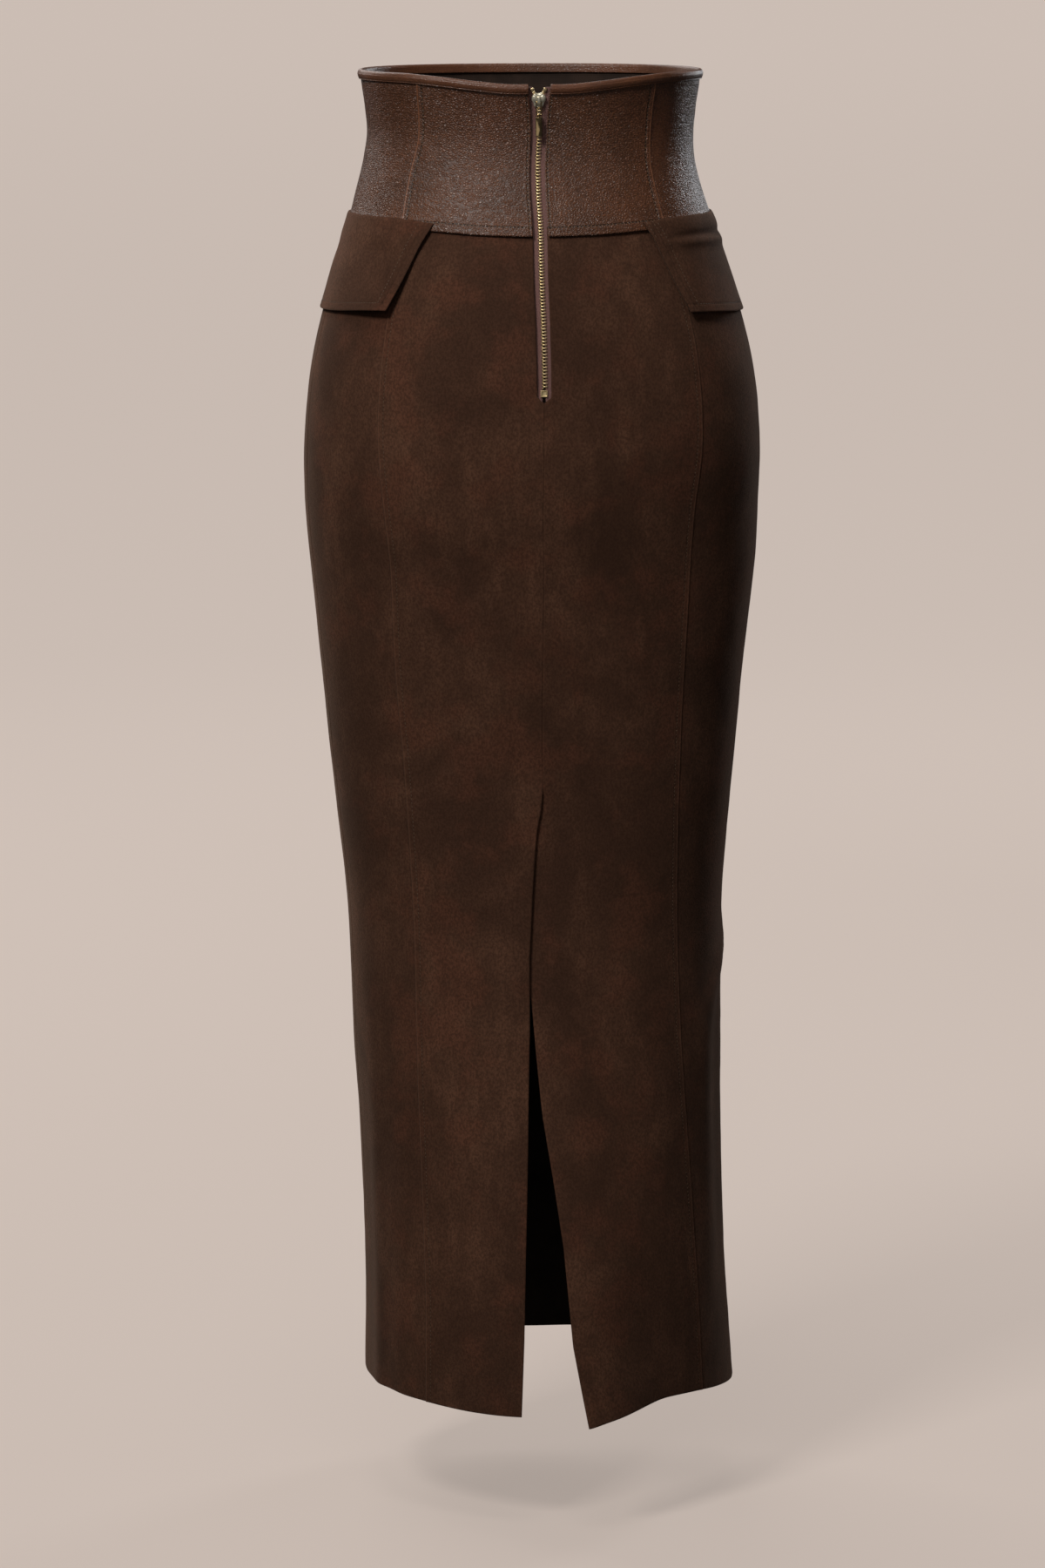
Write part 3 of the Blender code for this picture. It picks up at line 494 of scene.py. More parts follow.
class ClothPanel:
    """A sheet on the form between a low and a high edge, with a margin at each of its four edges."""

    def __init__(self, low, high, top, bottom, stand_off, margins, soft, depth):
        self.low, self.high, self.top, self.bottom = low, high, top, bottom
        self.stand_off, self.margins, self.soft, self.depth = stand_off, margins, soft, depth

    def level(self, place, angle):
        """The height of a place at one angle: so far down or up from an edge, or a share of what lies between."""
        kind, value = place
        top, bottom = self.top(angle), self.bottom(angle)
        if kind == "down":
            return top - value
        if kind == "up":
            return bottom + value
        return between((top - self.near_rows[0], bottom + self.near_rows[1]), value)

    def edge_angle(self, edge, place):
        return edge(self.level(place, edge(self.level(place, 0))))

    def relief(self, angle, height, from_low, from_high):
        low, high, top, bottom = self.margins
        relief = margin_relief(low, from_low) + margin_relief(high, from_high)
        relief += margin_relief(top, max(self.top(angle) - height, 0))
        relief += margin_relief(bottom, max(height - self.bottom(angle), 0))
        return relief

    def point(self, angle, height, from_low, from_high):
        """The place of the sheet's outer face, and its painted shade and highlight there."""
        relief, shade = self.relief(angle, height, from_low, from_high)
        base = form_point(angle, height)
        pucker = PUCKER * (
            bell(from_low, PUCKER_REACH) * noise.noise(Vector((height * PUCKERS, angle * 0.01, 3.0)))
            + bell(from_high, PUCKER_REACH) * noise.noise(Vector((height * PUCKERS, angle * 0.01, 8.0)))
        )
        waves = unevenness(base, self.depth, self.soft) + unevenness(base, 0.35 * self.depth, 0.3 * self.soft)
        rise = self.stand_off(angle, height) + relief + pucker + waves + crease_relief(angle, height)
        return base + outward(angle, height) * rise, shade

    def grid(self, near_columns, middle_columns, near_rows, middle_rows):
        """Rows of (place, relief), with the rows and columns close together near the edges."""
        self.near_rows = (near_rows[0][-1], near_rows[1][-1])
        places = [("down", value) for value in near_rows[0][:-1]]
        places += [("middle", step / middle_rows) for step in range(middle_rows + 1)]
        places += [("up", value) for value in reversed(near_rows[1][:-1])]
        rows = []
        for place in places:
            low, high = self.edge_angle(self.low, place), self.edge_angle(self.high, place)
            height = self.level(place, 0.5 * (low + high))
            low_degree, high_degree = degree_at(low, height), degree_at(high, height)
            inner = (low + near_columns[0][-1] / low_degree, high - near_columns[1][-1] / high_degree)
            angles = [low + value / low_degree for value in near_columns[0][:-1]]
            angles += [between(inner, step / middle_columns) for step in range(middle_columns + 1)]
            angles += [high - value / high_degree for value in reversed(near_columns[1][:-1])]
            row = []
            for angle in angles:
                level = self.level(place, angle)
                row.append(self.point(angle, level, (angle - low) * low_degree, (high - angle) * high_degree))
            rows.append(row)
        return rows

    def stitch_line(self, side, skip=0.0, step=1.0 * MM):
        """Places and normals along the stitches beside the low or the high edge."""
        edge = self.low if side == "low" else self.high
        sign = 1 if side == "low" else -1
        inset = self.margins[0 if side == "low" else 1].stitch
        middle = 0.5 * (self.low(-0.02) + self.high(-0.02))
        top, bottom = self.top(edge(0.0)) - skip, self.bottom(edge(-0.07 if skip else -1.0)) + step
        line = []
        for index in range(int((top - bottom) / step)):
            height = top - index * step
            degree = degree_at(edge(height), height)
            angle = edge(height) + sign * inset / degree
            far = abs(middle - angle) * degree
            near = (inset, far) if side == "low" else (far, inset)
            line.append((self.point(angle, height, *near)[0], outward(angle, height)))
        return line

    def level_stitches(self, which, step=0.4):
        """Places and normals along the stitches beside the top or the bottom edge."""
        inset = self.margins[2 if which == "top" else 3].stitch
        low, high = self.low(self.bottom(self.low(0)) + inset), self.high(self.bottom(self.high(0)) + inset)
        line = []
        steps = int(abs(high - low) / step)
        for index in range(steps + 1):
            angle = between((low, high), index / steps)
            height = self.top(angle) - inset if which == "top" else self.bottom(angle) + inset
            degree = degree_at(angle, height)
            sides = ((angle - low) * degree, (high - angle) * degree)
            if min(sides) > 1.5 * MM:
                line.append((self.point(angle, height, *sides)[0], outward(angle, height)))
        return line


# ---- Making objects -----------------------------------------------------------------------------


def sizes():
    return bpy.context.scene.skirt_sizes


def deselect():
    bpy.ops.object.select_all(action="DESELECT")


def named(name):
    """The new active object, with its name."""
    piece = bpy.context.object
    piece.name = piece.data.name = name
    return piece


def apply_modifier(piece, kind, **settings):
    bpy.context.view_layer.objects.active = piece
    bpy.ops.object.modifier_add(type=kind)
    modifier = piece.modifiers[-1]
    for name, value in settings.items():
        setattr(modifier, name, value)
    bpy.ops.object.modifier_apply(modifier=modifier.name)


def lay_sheet(name, rows):
    """A flat grid drawn to the cloth's size and laid in place; its UV map is the flat cloth in metres."""
    deselect()
    bpy.ops.mesh.primitive_grid_add(x_subdivisions=len(rows[0]) - 1, y_subdivisions=len(rows) - 1)
    piece = named(name)
    mesh = piece.data
    # The relief attribute holds each point's painted shade and highlight: below zero in grooves, above zero on
    # ridges.
    relief = mesh.attributes.new("relief", "FLOAT", "POINT")
    points = [corner for row in rows for corner in row]
    for vertex, shade, (place, depth) in zip(mesh.vertices, relief.data, points):
        vertex.co = place
        shade.value = depth / MM
    middle_row, middle_column = rows[len(rows) // 2], [row[len(row) // 2] for row in rows]
    across, down = run_lengths(middle_row), run_lengths(middle_column)
    flat = mesh.uv_layers.active.data
    for loop in mesh.loops:
        row, column = divmod(loop.vertex_index, len(across))
        flat[loop.index].uv = (across[column], -down[row])
    return piece


def run_lengths(line):
    """The distance along a line of (place, relief) to each of its points."""
    total, found = 0.0, [0.0]
    for (before, _), (after, _) in zip(line, line[1:]):
        total += (after - before).length
        found.append(total)
    return found


def edit_faces(piece, wanted):
    """Opens a piece in edit mode with the wanted faces selected."""
    bpy.ops.object.mode_set(mode="EDIT")
    bpy.ops.mesh.select_mode(type="FACE")
    bpy.ops.mesh.select_all(action="DESELECT")
    bpy.ops.object.mode_set(mode="OBJECT")
    for face in piece.data.polygons:
        face.select = wanted(face.normal)
    bpy.ops.object.mode_set(mode="EDIT")


def pushed_out(name, outline, push):
    """A flat outline of places, pushed out into a closed block."""
    deselect()
    bpy.ops.mesh.primitive_circle_add(vertices=len(outline), radius=1.0, fill_type="NGON")
    piece = named(name)
    for vertex, place in zip(piece.data.vertices, outline):
        vertex.co = place
    bpy.ops.object.mode_set(mode="EDIT")
    bpy.ops.mesh.select_all(action="SELECT")
    bpy.ops.mesh.extrude_region_move(TRANSFORM_OT_translate={"value": push})
    bpy.ops.mesh.select_all(action="SELECT")
    bpy.ops.mesh.normals_make_consistent(inside=False)
    bpy.ops.object.mode_set(mode="OBJECT")
    return piece


def join_to(piece, *others):
    deselect()
    for part in (piece, *others):
        part.select_set(True)
    bpy.context.view_layer.objects.active = piece
    bpy.ops.object.join()


def give_wall(piece, wall, rounding, back_material=1):
    """Gives a laid sheet its thickness inwards and rounds its cut edges."""
    apply_modifier(
        piece, "SOLIDIFY", thickness=wall, offset=-1.0, material_offset=back_material, material_offset_rim=0
    )
    if rounding:
        apply_modifier(
            piece,
            "BEVEL",
            width=rounding,
            segments=2,
            limit_method="ANGLE",
            angle_limit=math.radians(70),
            use_clamp_overlap=True,
        )
    bpy.ops.object.shade_smooth_by_angle(angle=math.radians(48))


def flat_cut(rows):
    """The width, length and area of the cut that shows."""
    widths = [run_lengths(row)[-1] for row in rows]
    lengths = [run_lengths([row[column] for row in rows])[-1] for column in range(0, len(rows[0]), 4)]
    area = 0.0
    for upper, lower in zip(rows, rows[1:]):
        for i in range(len(upper) - 1):
            first = lower[i + 1][0] - upper[i][0]
            second = lower[i][0] - upper[i + 1][0]
            area += 0.5 * first.cross(second).length
    width, down = round(max(widths), 3), round(max(lengths), 3)
    return (width, down), round(min(area, width * down), 5)


def add_cloth(name, rows, wall, rounding, materials, replaced):
    """A finished sheet of cloth in place of its CAD node."""
    piece = lay_sheet(name, rows)
    for finish in materials:
        piece.data.materials.append(finish)
    give_wall(piece, wall, rounding, len(materials) - 1)
    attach(piece, BODY)
    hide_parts(replaced)
    flat, area = flat_cut(rows)
    return piece


def stamp(name, template, frames):
    """Copies one template into every frame, as a single mesh."""
    shape = [vertex.co.copy() for vertex in template.data.vertices]
    faces = [tuple(face.vertices) for face in template.data.polygons]
    corners, drawn = [], []
    for place in frames:
        start = len(corners)
        corners.extend(place @ corner for corner in shape)
        drawn.extend(tuple(start + index for index in face) for face in faces)
    mesh = bpy.data.meshes.new(name)
    mesh.from_pydata(corners, [], drawn)
    mesh.update()
    template.data = mesh
    template.name = name
    return template


def steps(first, spacing, count):
    return [first + spacing * step for step in range(count)]


# ---- Materials ----------------------------------------------------------------------------------


class Wire:
    """A number in a material. Python's operators on it draw the Math nodes."""

    def __init__(self, finish, socket):
        self.finish, self.socket = finish, socket

    def math(self, operation, *others):
        return self.finish.node("Math", {"operation": operation}, (self, *others))

    def __add__(self, other):
        return self.math("ADD", other)

    def __sub__(self, other):
        return self.math("SUBTRACT", other)

    def __rsub__(self, other):
        return self.finish.node("Math", {"operation": "SUBTRACT"}, (other, self))

    def __mul__(self, other):
        return self.math("MULTIPLY", other)

    __radd__ = __add__
    __rmul__ = __mul__

    def spread(self, low, high, to_low=0.0, to_high=1.0):
        """The value from low to high drawn over another range, and held at its ends."""
        settings = {"interpolation_type": "SMOOTHSTEP"}
        return self.finish.node("MapRange", settings, (self, low, high, to_low, to_high))


class Finish:
    """A procedural material on a Principled shader."""

    def __init__(self, name, **constants):
        self.material = bpy.data.materials.new(name)
        self.material.use_nodes = True
        self.tree = self.material.node_tree
        self.shader = self.tree.nodes["Principled BSDF"]
        for socket, value in constants.items():
            self.shader.inputs[socket.replace("_", " ")].default_value = value

    def feed(self, socket, value):
        if isinstance(value, Wire):
            self.tree.links.new(value.socket, socket)
        else:
            socket.default_value = (*value, 1.0) if socket.type == "RGBA" else value

    def node(self, kind, settings, values, output=0):
        """A node of a kind, with its settings and then the values of its inputs, in order or by name."""
        made = self.tree.nodes.new("ShaderNode" + kind)
        for name, value in settings.items():
            setattr(made, name, value)
        pairs = values.items() if isinstance(values, dict) else enumerate(values)
        for key, value in pairs:
            self.feed(made.inputs[key], value)
        return Wire(self, made.outputs[output])

    def place(self, scale=(1.0, 1.0, 1.0), coordinates="Object"):
        """Object or UV coordinates, stretched."""
        found = self.node("TexCoord", {}, {}, coordinates)
        return self.node("Mapping", {}, {"Vector": found, "Scale": scale})

    def cloud(self, place, scale, detail=3.0, roughness=0.55, distortion=0.0):
        values = {
            "Vector": place,
            "Scale": scale,
            "Detail": detail,
            "Roughness": roughness,
            "Distortion": distortion,
        }
        return self.node("TexNoise", {}, values)

    def cells(self, place, feature, output):
        """The cells of the leather's pebbles, read as one of their features."""
        values = {"Vector": place, "Scale": PEBBLES, "Randomness": 0.96}
        return self.node("TexVoronoi", {"feature": feature}, values, output)

    def attribute(self, name):
        return self.node("Attribute", {"attribute_name": name}, {}, "Fac")

    def blend(self, factor, first, second):
        return self.node("Mix", {"data_type": "RGBA"}, {0: factor, 6: first, 7: second}, 2)

    def bumped(self, height, distance, strength=1.0):
        return self.node("Bump", {}, {"Height": height, "Distance": distance, "Strength": strength})

    def wear(self, **values):
        """Feeds the shader's sockets and gives the material back."""
        for socket, value in values.items():
            self.feed(self.shader.inputs[socket.replace("_", " ")], value)
        return self.material


def shaded(base, factor):
    return tuple(channel * factor for channel in base)


PEBBLES = 560.0  # to the metre
PEBBLE_RELIEF = 0.37 * MM
PEBBLE_DRIFT = 1.9 * MM  # how far the grain wanders from an even pattern


@lru_cache(maxsize=None)
def leather(grain=1.0):
    """Pebbled leather: flat pebbles between fine creases, with painted shade in its creases, wrinkle troughs and
    seam grooves, and a painted highlight on its seam ridges.
    """
    finish = Finish("Pebbled_leather" if grain == 1 else "Stretched_leather", Specular_IOR_Level=0.60, IOR=1.5)
    base = tuple(bpy.context.scene.skirt_colours.leather)
    place = finish.place()
    drift = finish.node("TexNoise", {}, {"Vector": place, "Scale": 260.0, "Detail": 2.0}, "Color")
    bent = finish.node("VectorMath", {"operation": "SCALE"}, {0: drift, "Scale": PEBBLE_DRIFT})
    wide = finish.place((0.84, 0.84, 1.22))
    grain_place = finish.node("VectorMath", {"operation": "ADD"}, (wide, bent))
    crease = finish.cells(grain_place, "DISTANCE_TO_EDGE", "Distance")
    middle = finish.cells(grain_place, "F1", "Distance")
    each = finish.node("SeparateColor", {}, (finish.cells(grain_place, "F1", "Color"),))
    wrinkle = finish.cloud(finish.place((0.62, 0.62, 1.8)), 120.0, 3.0, 0.6, 1.0)
    lumps = finish.cloud(finish.place((0.8, 0.8, 1.3)), 330.0, 2.0, 0.5)
    fine = finish.cloud(place, 2600.0, 3.0)
    broad = finish.cloud(place, 26.0, 4.0, 0.6)
    patches = finish.cloud(place, 9.0, 2.0)
    relief = finish.attribute("relief")
    dome = crease.spread(0.0, 0.34) * (1 - middle.spread(0.15, 0.85) * 0.45)
    flattened = 1 - relief.spread(0.10, 0.40) * 0.6
    height = dome * (0.70 + each * 0.40) + lumps * 0.60 + wrinkle.spread(0.28, 0.62) * 0.30 + fine * 0.06
    bumps = finish.bumped(height * flattened, PEBBLE_RELIEF * grain)
    tone = finish.blend(broad.spread(0.35, 0.68), shaded(base, 0.78), (base[0] * 1.14, base[1] * 1.08, base[2]))
    tone = finish.blend(patches.spread(0.42, 0.66) * 0.5, tone, (base[0] * 1.22, base[1] * 1.04, base[2] * 0.88))
    tone = finish.blend(each.spread(0.55, 1.0, 0.0, 0.36 * grain), tone, shaded(base, 1.60))
    tone = finish.blend(each.spread(0.0, 0.45, 0.34 * grain, 0.0), tone, shaded(base, 0.55))
    # Painted shade: the pebbles' creases and the wrinkles' troughs are darkened.
    tone = finish.blend(crease.spread(0.0, 0.15, 0.70 * grain, 0.0), tone, shaded(base, 0.15))
    tone = finish.blend(wrinkle.spread(0.28, 0.42, 0.35 * grain, 0.0), tone, shaded(base, 0.35))
    # Painted shade in the seams' grooves and turned edges, and a painted highlight on their ridges and lifted
    # margins, from the relief attribute.
    tone = finish.blend(relief.spread(-0.40, -0.06, 0.88, 0.0), tone, shaded(base, 0.10))
    tone = finish.blend(relief.spread(0.16, 0.50, 0.0, 0.75), tone, shaded(base, 1.90))
    rough = 0.25 + broad * 0.08 + (1 - dome) * 0.18
    return finish.wear(Base_Color=tone, Roughness=rough, Normal=bumps)


NAP_RELIEF = 0.36 * MM


@lru_cache(maxsize=None)
def suede():
    """Napped suede: cloudy brushing marks, a fine mottled grain and a short fibre that lies downwards, with painted
    shade in its seam grooves and a painted highlight on its seam ridges.
    """
    finish = Finish(
        "Napped_suede",
        Specular_IOR_Level=0.10,
        Sheen_Weight=0.20,
        Sheen_Roughness=0.40,
        Sheen_Tint=(0.80, 0.56, 0.42, 1.0),
    )
    base = tuple(bpy.context.scene.skirt_colours.suede)
    place = finish.place()
    clouds = finish.cloud(finish.place((1.0, 1.0, 0.70)), 13.0, 5.0, 0.60, 0.5)
    brushing = finish.cloud(finish.place((1.0, 1.0, 0.42)), 52.0, 4.0, 0.62, 0.4)
    warmth = finish.cloud(place, 24.0, 3.0, 0.6)
    fibre = finish.cloud(finish.place((1.0, 1.0, 0.50)), 1500.0, 3.0, 0.7)
    grain = finish.cloud(finish.place((1.0, 1.0, 0.70)), 620.0, 4.0, 0.70)
    relief = finish.attribute("relief")
    light, dark = (base[0] * 1.30, base[1] * 1.30, base[2] * 1.28), shaded(base, 0.58)
    tone = finish.blend(clouds.spread(0.34, 0.66), dark, light)
    tone = finish.blend(brushing.spread(0.36, 0.64) * 0.60, tone, shaded(base, 0.66))
    tone = finish.blend(warmth.spread(0.48, 0.66) * 0.45, tone, (base[0] * 1.34, base[1] * 1.06, base[2] * 1.02))
    tone = finish.blend(grain.spread(0.38, 0.62) * 0.62, tone, shaded(base, 0.36))
    # Painted shade in the seams' grooves and turned edges, and a painted highlight on their ridges and lifted
    # margins, from the relief attribute.
    tone = finish.blend(relief.spread(-0.40, -0.06, 0.75, 0.0), tone, shaded(base, 0.22))
    tone = finish.blend(relief.spread(0.14, 0.46, 0.0, 0.42), tone, shaded(base, 1.75))
    rough = 0.82 + grain * 0.14
    height = fibre * 0.5 + grain * 0.5
    return finish.wear(Base_Color=tone, Roughness=rough, Normal=finish.bumped(height, NAP_RELIEF))


@lru_cache(maxsize=None)
def lining():
    """The plain woven backing inside the skirt and the waist."""
    finish = Finish("Woven_backing", Specular_IOR_Level=0.2)
    base = tuple(bpy.context.scene.skirt_colours.lining)
    weave_place = finish.place(coordinates="UV")
    warp = finish.node("TexWave", {"bands_direction": "X"}, {"Vector": weave_place, "Scale": 190.0})
    weft = finish.node("TexWave", {"bands_direction": "Y"}, {"Vector": weave_place, "Scale": 190.0})
    cloudy = finish.cloud(finish.place(), 60.0, 3.0)
    weave = warp.math("MAXIMUM", weft)
    tone = finish.blend(cloudy.spread(0.3, 0.7), shaded(base, 0.8), shaded(base, 1.3))
    return finish.wear(Base_Color=tone, Roughness=0.72 + cloudy * 0.2, Normal=finish.bumped(weave, 0.12 * MM, 0.5))


@lru_cache(maxsize=None)
def thread(tone_share):
    """Waxed sewing thread with its twist, paler on the leather than on the suede."""
    finish = Finish(f"Waxed_thread_{round(100 * tone_share)}", Specular_IOR_Level=0.45)
    base = shaded(bpy.context.scene.skirt_colours.thread, tone_share)
    twist = finish.node("TexWave", {"bands_direction": "DIAGONAL"}, {"Vector": finish.place(), "Scale": 1400.0})
    tint = finish.cloud(finish.place(), 300.0, 2.0)
    tone = finish.blend(tint, shaded(base, 0.75), shaded(base, 1.35))
    return finish.wear(Base_Color=tone, Roughness=0.48 + tint * 0.15, Normal=finish.bumped(twist, 0.06 * MM, 0.6))


RIBS = 9200.0  # radians of rib to the metre of tape
RIB_TURN = 2.1 * MM  # the ribs slant the other way after this width


@lru_cache(maxsize=None)
def tape_weave():
    """Herringbone zip tape: slanting ribs that turn at every band, and a firm edge."""
    finish = Finish("Zip_tape_weave", Specular_IOR_Level=0.3, Sheen_Weight=0.25, Sheen_Roughness=0.5)
    base = tuple(bpy.context.scene.skirt_colours.tape)
    flat = finish.place(coordinates="UV")
    across, down = (finish.node("SeparateXYZ", {}, (flat,), axis) for axis in (0, 1))
    ribs = ((down + across.math("PINGPONG", RIB_TURN)) * RIBS).math("SINE") * 0.5 + 0.5
    fleck = finish.cloud(finish.place(), 900.0, 3.0)
    cloudy = finish.cloud(finish.place(), 70.0, 2.0)
    tone = finish.blend(ribs * 0.6 + fleck * 0.4, shaded(base, 0.55), shaded(base, 1.25))
    tone = finish.blend(cloudy.spread(0.4, 0.7) * 0.4, tone, shaded(base, 0.80))
    return finish.wear(Base_Color=tone, Roughness=0.68 + fleck * 0.2, Normal=finish.bumped(ribs, 0.16 * MM, 0.8))


# A gold plating: its name, roughness, share of metal, and tint on the gold of the sidebar.
Plating = namedtuple("Plating", "name rough metal tint")
SATIN = Plating("Satin_gold", 0.36, 1.0, (1.0, 1.0, 1.0))
# The slider's gold is paled and partly not metal, a painted highlight for its bright shine.
PAINTED_HIGHLIGHT_GOLD = Plating("Ivory_gold", 0.30, 0.68, (1.0, 1.18, 1.66))
# The pull's gold is darkened, a painted dark reflection of the dark surroundings it mirrors.
POLISHED = Plating("Polished_gold", 0.07, 1.0, (0.46, 0.42, 0.38))


@lru_cache(maxsize=None)
def gold(plating):
    """Gold plating with handling marks: satin teeth, a slider paled as a painted highlight and a polished pull
    darkened as a painted dark reflection.
    """
    finish = Finish(plating.name, Metallic=plating.metal)
    base = tuple(share * tint for share, tint in zip(bpy.context.scene.skirt_colours.gold, plating.tint))
    marks = finish.cloud(finish.place((1.0, 1.0, 0.2)), 1400.0, 3.0, 0.6)
    tint = finish.cloud(finish.place(), 160.0, 2.0)
    tone = finish.blend(tint, shaded(base, 0.90), base)
    tone = finish.blend(marks.spread(0.55, 0.75) * 0.3, tone, shaded(base, 0.70))
    rough = plating.rough + marks.spread(0.4, 0.7) * 0.10
    return finish.wear(Base_Color=tone, Roughness=rough, Normal=finish.bumped(marks, 0.02 * MM, 0.3))


GLOW_REACH = (0.9, 4.6)  # metres from the skirt over which the lamps fade
GLOW_TAIL = (8.0, 30.0)  # metres over which the last of their light goes
GLOW_LAST = 0.12  # the tail's share of the rise
GLOW_NEAR, GLOW_FAR = 0.665, 0.985


@lru_cache(maxsize=None)
def studio_paint():
    """Pale paint that glows, and more where the lamps don't reach, so that the floor is even."""
    finish = Finish("Studio_paint", Specular_IOR_Level=0.1, Roughness=0.9, Emission_Strength=1.0)
    base = tuple(bpy.context.scene.skirt_colours.studio)
    place = finish.place()
    away = finish.node("VectorMath", {"operation": "LENGTH"}, (place,), "Value")
    veil = finish.cloud(place, 2.0, 2.0)
    tone = finish.blend(veil, shaded(base, 0.44), shaded(base, 0.45))
    share = away.spread(*GLOW_REACH) * (1 - GLOW_LAST) + away.spread(*GLOW_TAIL) * GLOW_LAST
    glow = finish.blend(share, shaded(base, GLOW_NEAR), shaded(base, GLOW_FAR))
    return finish.wear(Base_Color=tone, Emission_Color=glow)


# ---- Stitching ----------------------------------------------------------------------------------


STITCH_END_GIRTH, STITCH_END_DEPTH = 0.55, 0.75  # shares of the thread, where it goes into the cloth


def add_stitches(name, lines, tone_share):
    """One stitch, modelled once and stamped along every line, thread sunk at both of its ends."""
    sewing = sizes()
    deselect()
    bpy.ops.mesh.primitive_cylinder_add(vertices=6, radius=0.5, depth=1.0, rotation=(0.0, math.pi / 2, 0.0))
    bpy.ops.object.transform_apply(location=True, rotation=True, scale=True)
    bpy.ops.object.mode_set(mode="EDIT")
    bpy.ops.mesh.select_all(action="SELECT")
    bpy.ops.mesh.bisect(plane_co=(-0.25, 0, 0), plane_no=(1, 0, 0))
    bpy.ops.mesh.select_all(action="SELECT")
    bpy.ops.mesh.bisect(plane_co=(0.25, 0, 0), plane_no=(1, 0, 0))
    bpy.ops.object.mode_set(mode="OBJECT")
    single = named(name + "_single")
    for vertex in single.data.vertices:
        x, y, z = vertex.co
        end = abs(x) > 0.4
        girth = sewing.thread * (STITCH_END_GIRTH if end else 1.0)
        sunk = STITCH_END_DEPTH * sewing.thread if end else 0.0
        vertex.co = (x * sewing.stitch, y * girth, z * girth - sunk)
    frames = []
    for line in lines:
        for place, along, out in stitch_places(line, sewing.stitch + sewing.stitch_gap):
            turn = Matrix((along, out.cross(along).normalized(), out)).transposed()
            frames.append(Matrix.Translation(place) @ turn.to_4x4())
    piece = stamp(name, single, frames)
    piece.data.materials.append(thread(tone_share))
    bpy.ops.object.shade_smooth_by_angle(angle=math.radians(60))
    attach(piece, BODY)
    return piece


def stitch_places(line, pitch):
    """Evenly spaced places along a line of (place, normal), with the direction and the normal of each."""
    found, left = [], 0.5 * pitch
    for (start, out), (end, _) in zip(line, line[1:]):
        span = (end - start).length
        while left < span:
            along = (end - start).normalized()
            level = (out - along * out.dot(along)).normalized()
            found.append((start.lerp(end, left / span), along, level))
            left += pitch
        left -= span
    return found


# ---- Pieces -------------------------------------------------------------------------------------

# Distances from an edge at which the rows and columns of a sheet lie close together.
NEAR = steps(0.0, 0.5 * MM, 16)
NEAR_SUEDE = steps(0.0, 0.6 * MM, 13)
NEAR_TOP = steps(0.0, 0.8 * MM, 12)
NEAR_FOOT = steps(0.0, 0.6 * MM, 17)
NEAR_LAP = steps(0.0, 2 * MM, 4)
NEAR_HEM = steps(0.0, 0.7 * MM, 5)
WAIST_ROWS, SKIRT_ROWS = 48, 210  # down the middle of each panel


def side_edges():
    """The side seams' edges: the left back's, the front's two and the right back's."""
    return (
        seam_edge(SIDE_SEAM, "left", -1),
        seam_edge(SIDE_SEAM, "left", 1),
        around_front(seam_edge(SIDE_SEAM, "right", -1)),
        seam_edge(SIDE_SEAM, "right", 1),
    )


def waist_panels():
    """Every leather panel by the name of its CAD node, with its number of middle columns."""
    left_end, front_start, front_end, right_start = side_edges()
    sewing = sizes()
    out = sewing.leather_lift + sewing.leather_wall

    def top(angle):
        return edge_height(TOP_EDGE, angle) - 1.1 * MM

    def bottom(angle):
        return edge_height(LEATHER_EDGE, angle)

    def panel(low, high, low_margin, high_margin):
        margins = (low_margin, high_margin, SOFT, FACED)
        return ClothPanel(low, high, top, bottom, lambda angle, height: out, margins, 0.035, 0.30 * MM)

    return {
        "leather_back_left": (
            panel(leather_opening("left"), seam_edge(LEATHER_SEAM, "left", -1), EDGED, LAPPED),
            44,
        ),
        "leather_back_right": (
            panel(seam_edge(LEATHER_SEAM, "right", 1), leather_opening("right"), LAPPED, EDGED),
            44,
        ),
        "leather_side_left": (panel(seam_edge(LEATHER_SEAM, "left", 1), left_end, TUCKED, JOINED), 26),
        "leather_side_right": (
            panel(right_start, seam_edge(LEATHER_SEAM, "right", -1), JOINED, TUCKED),
            26,
        ),
        "leather_front": (panel(front_start, front_end, JOINED, JOINED), 120),
    }


def skirt_panels():
    """Every suede panel by the name of its CAD node, with its number of middle columns."""
    left_end, front_start, front_end, right_start = side_edges()
    lap = sizes().lap

    def top(angle):
        return edge_height(LEATHER_EDGE, angle) + lap

    def panel(low, high, low_margin, high_margin, stand_off):
        margins = (low_margin, high_margin, SOFT, SOFT)
        return ClothPanel(low, high, top, hem_height, stand_off, margins, 0.055, 0.45 * MM)

    def flat(angle, height):
        return 0.0

    left_seam, right_seam = seam_edge(SKIRT_SEAM, "left", -1), seam_edge(SKIRT_SEAM, "right", 1)
    return {
        "skirt_back_left": (
            panel(suede_opening("left", 1), left_seam, JOINED, TOPSTITCHED, slit_swing("left", 1)),
            24,
        ),
        "skirt_back_right": (
            panel(right_seam, suede_opening("right", -1), TOPSTITCHED, JOINED, slit_swing("right", -1)),
            24,
        ),
        "skirt_side_left": (panel(seam_edge(SKIRT_SEAM, "left", 1), left_end, TUCKED, JOINED, flat), 20),
        "skirt_side_right": (
            panel(right_start, seam_edge(SKIRT_SEAM, "right", -1), JOINED, TUCKED, flat),
            20,
        ),
        "skirt_front": (panel(front_start, front_end, JOINED, JOINED, flat), 76),
    }


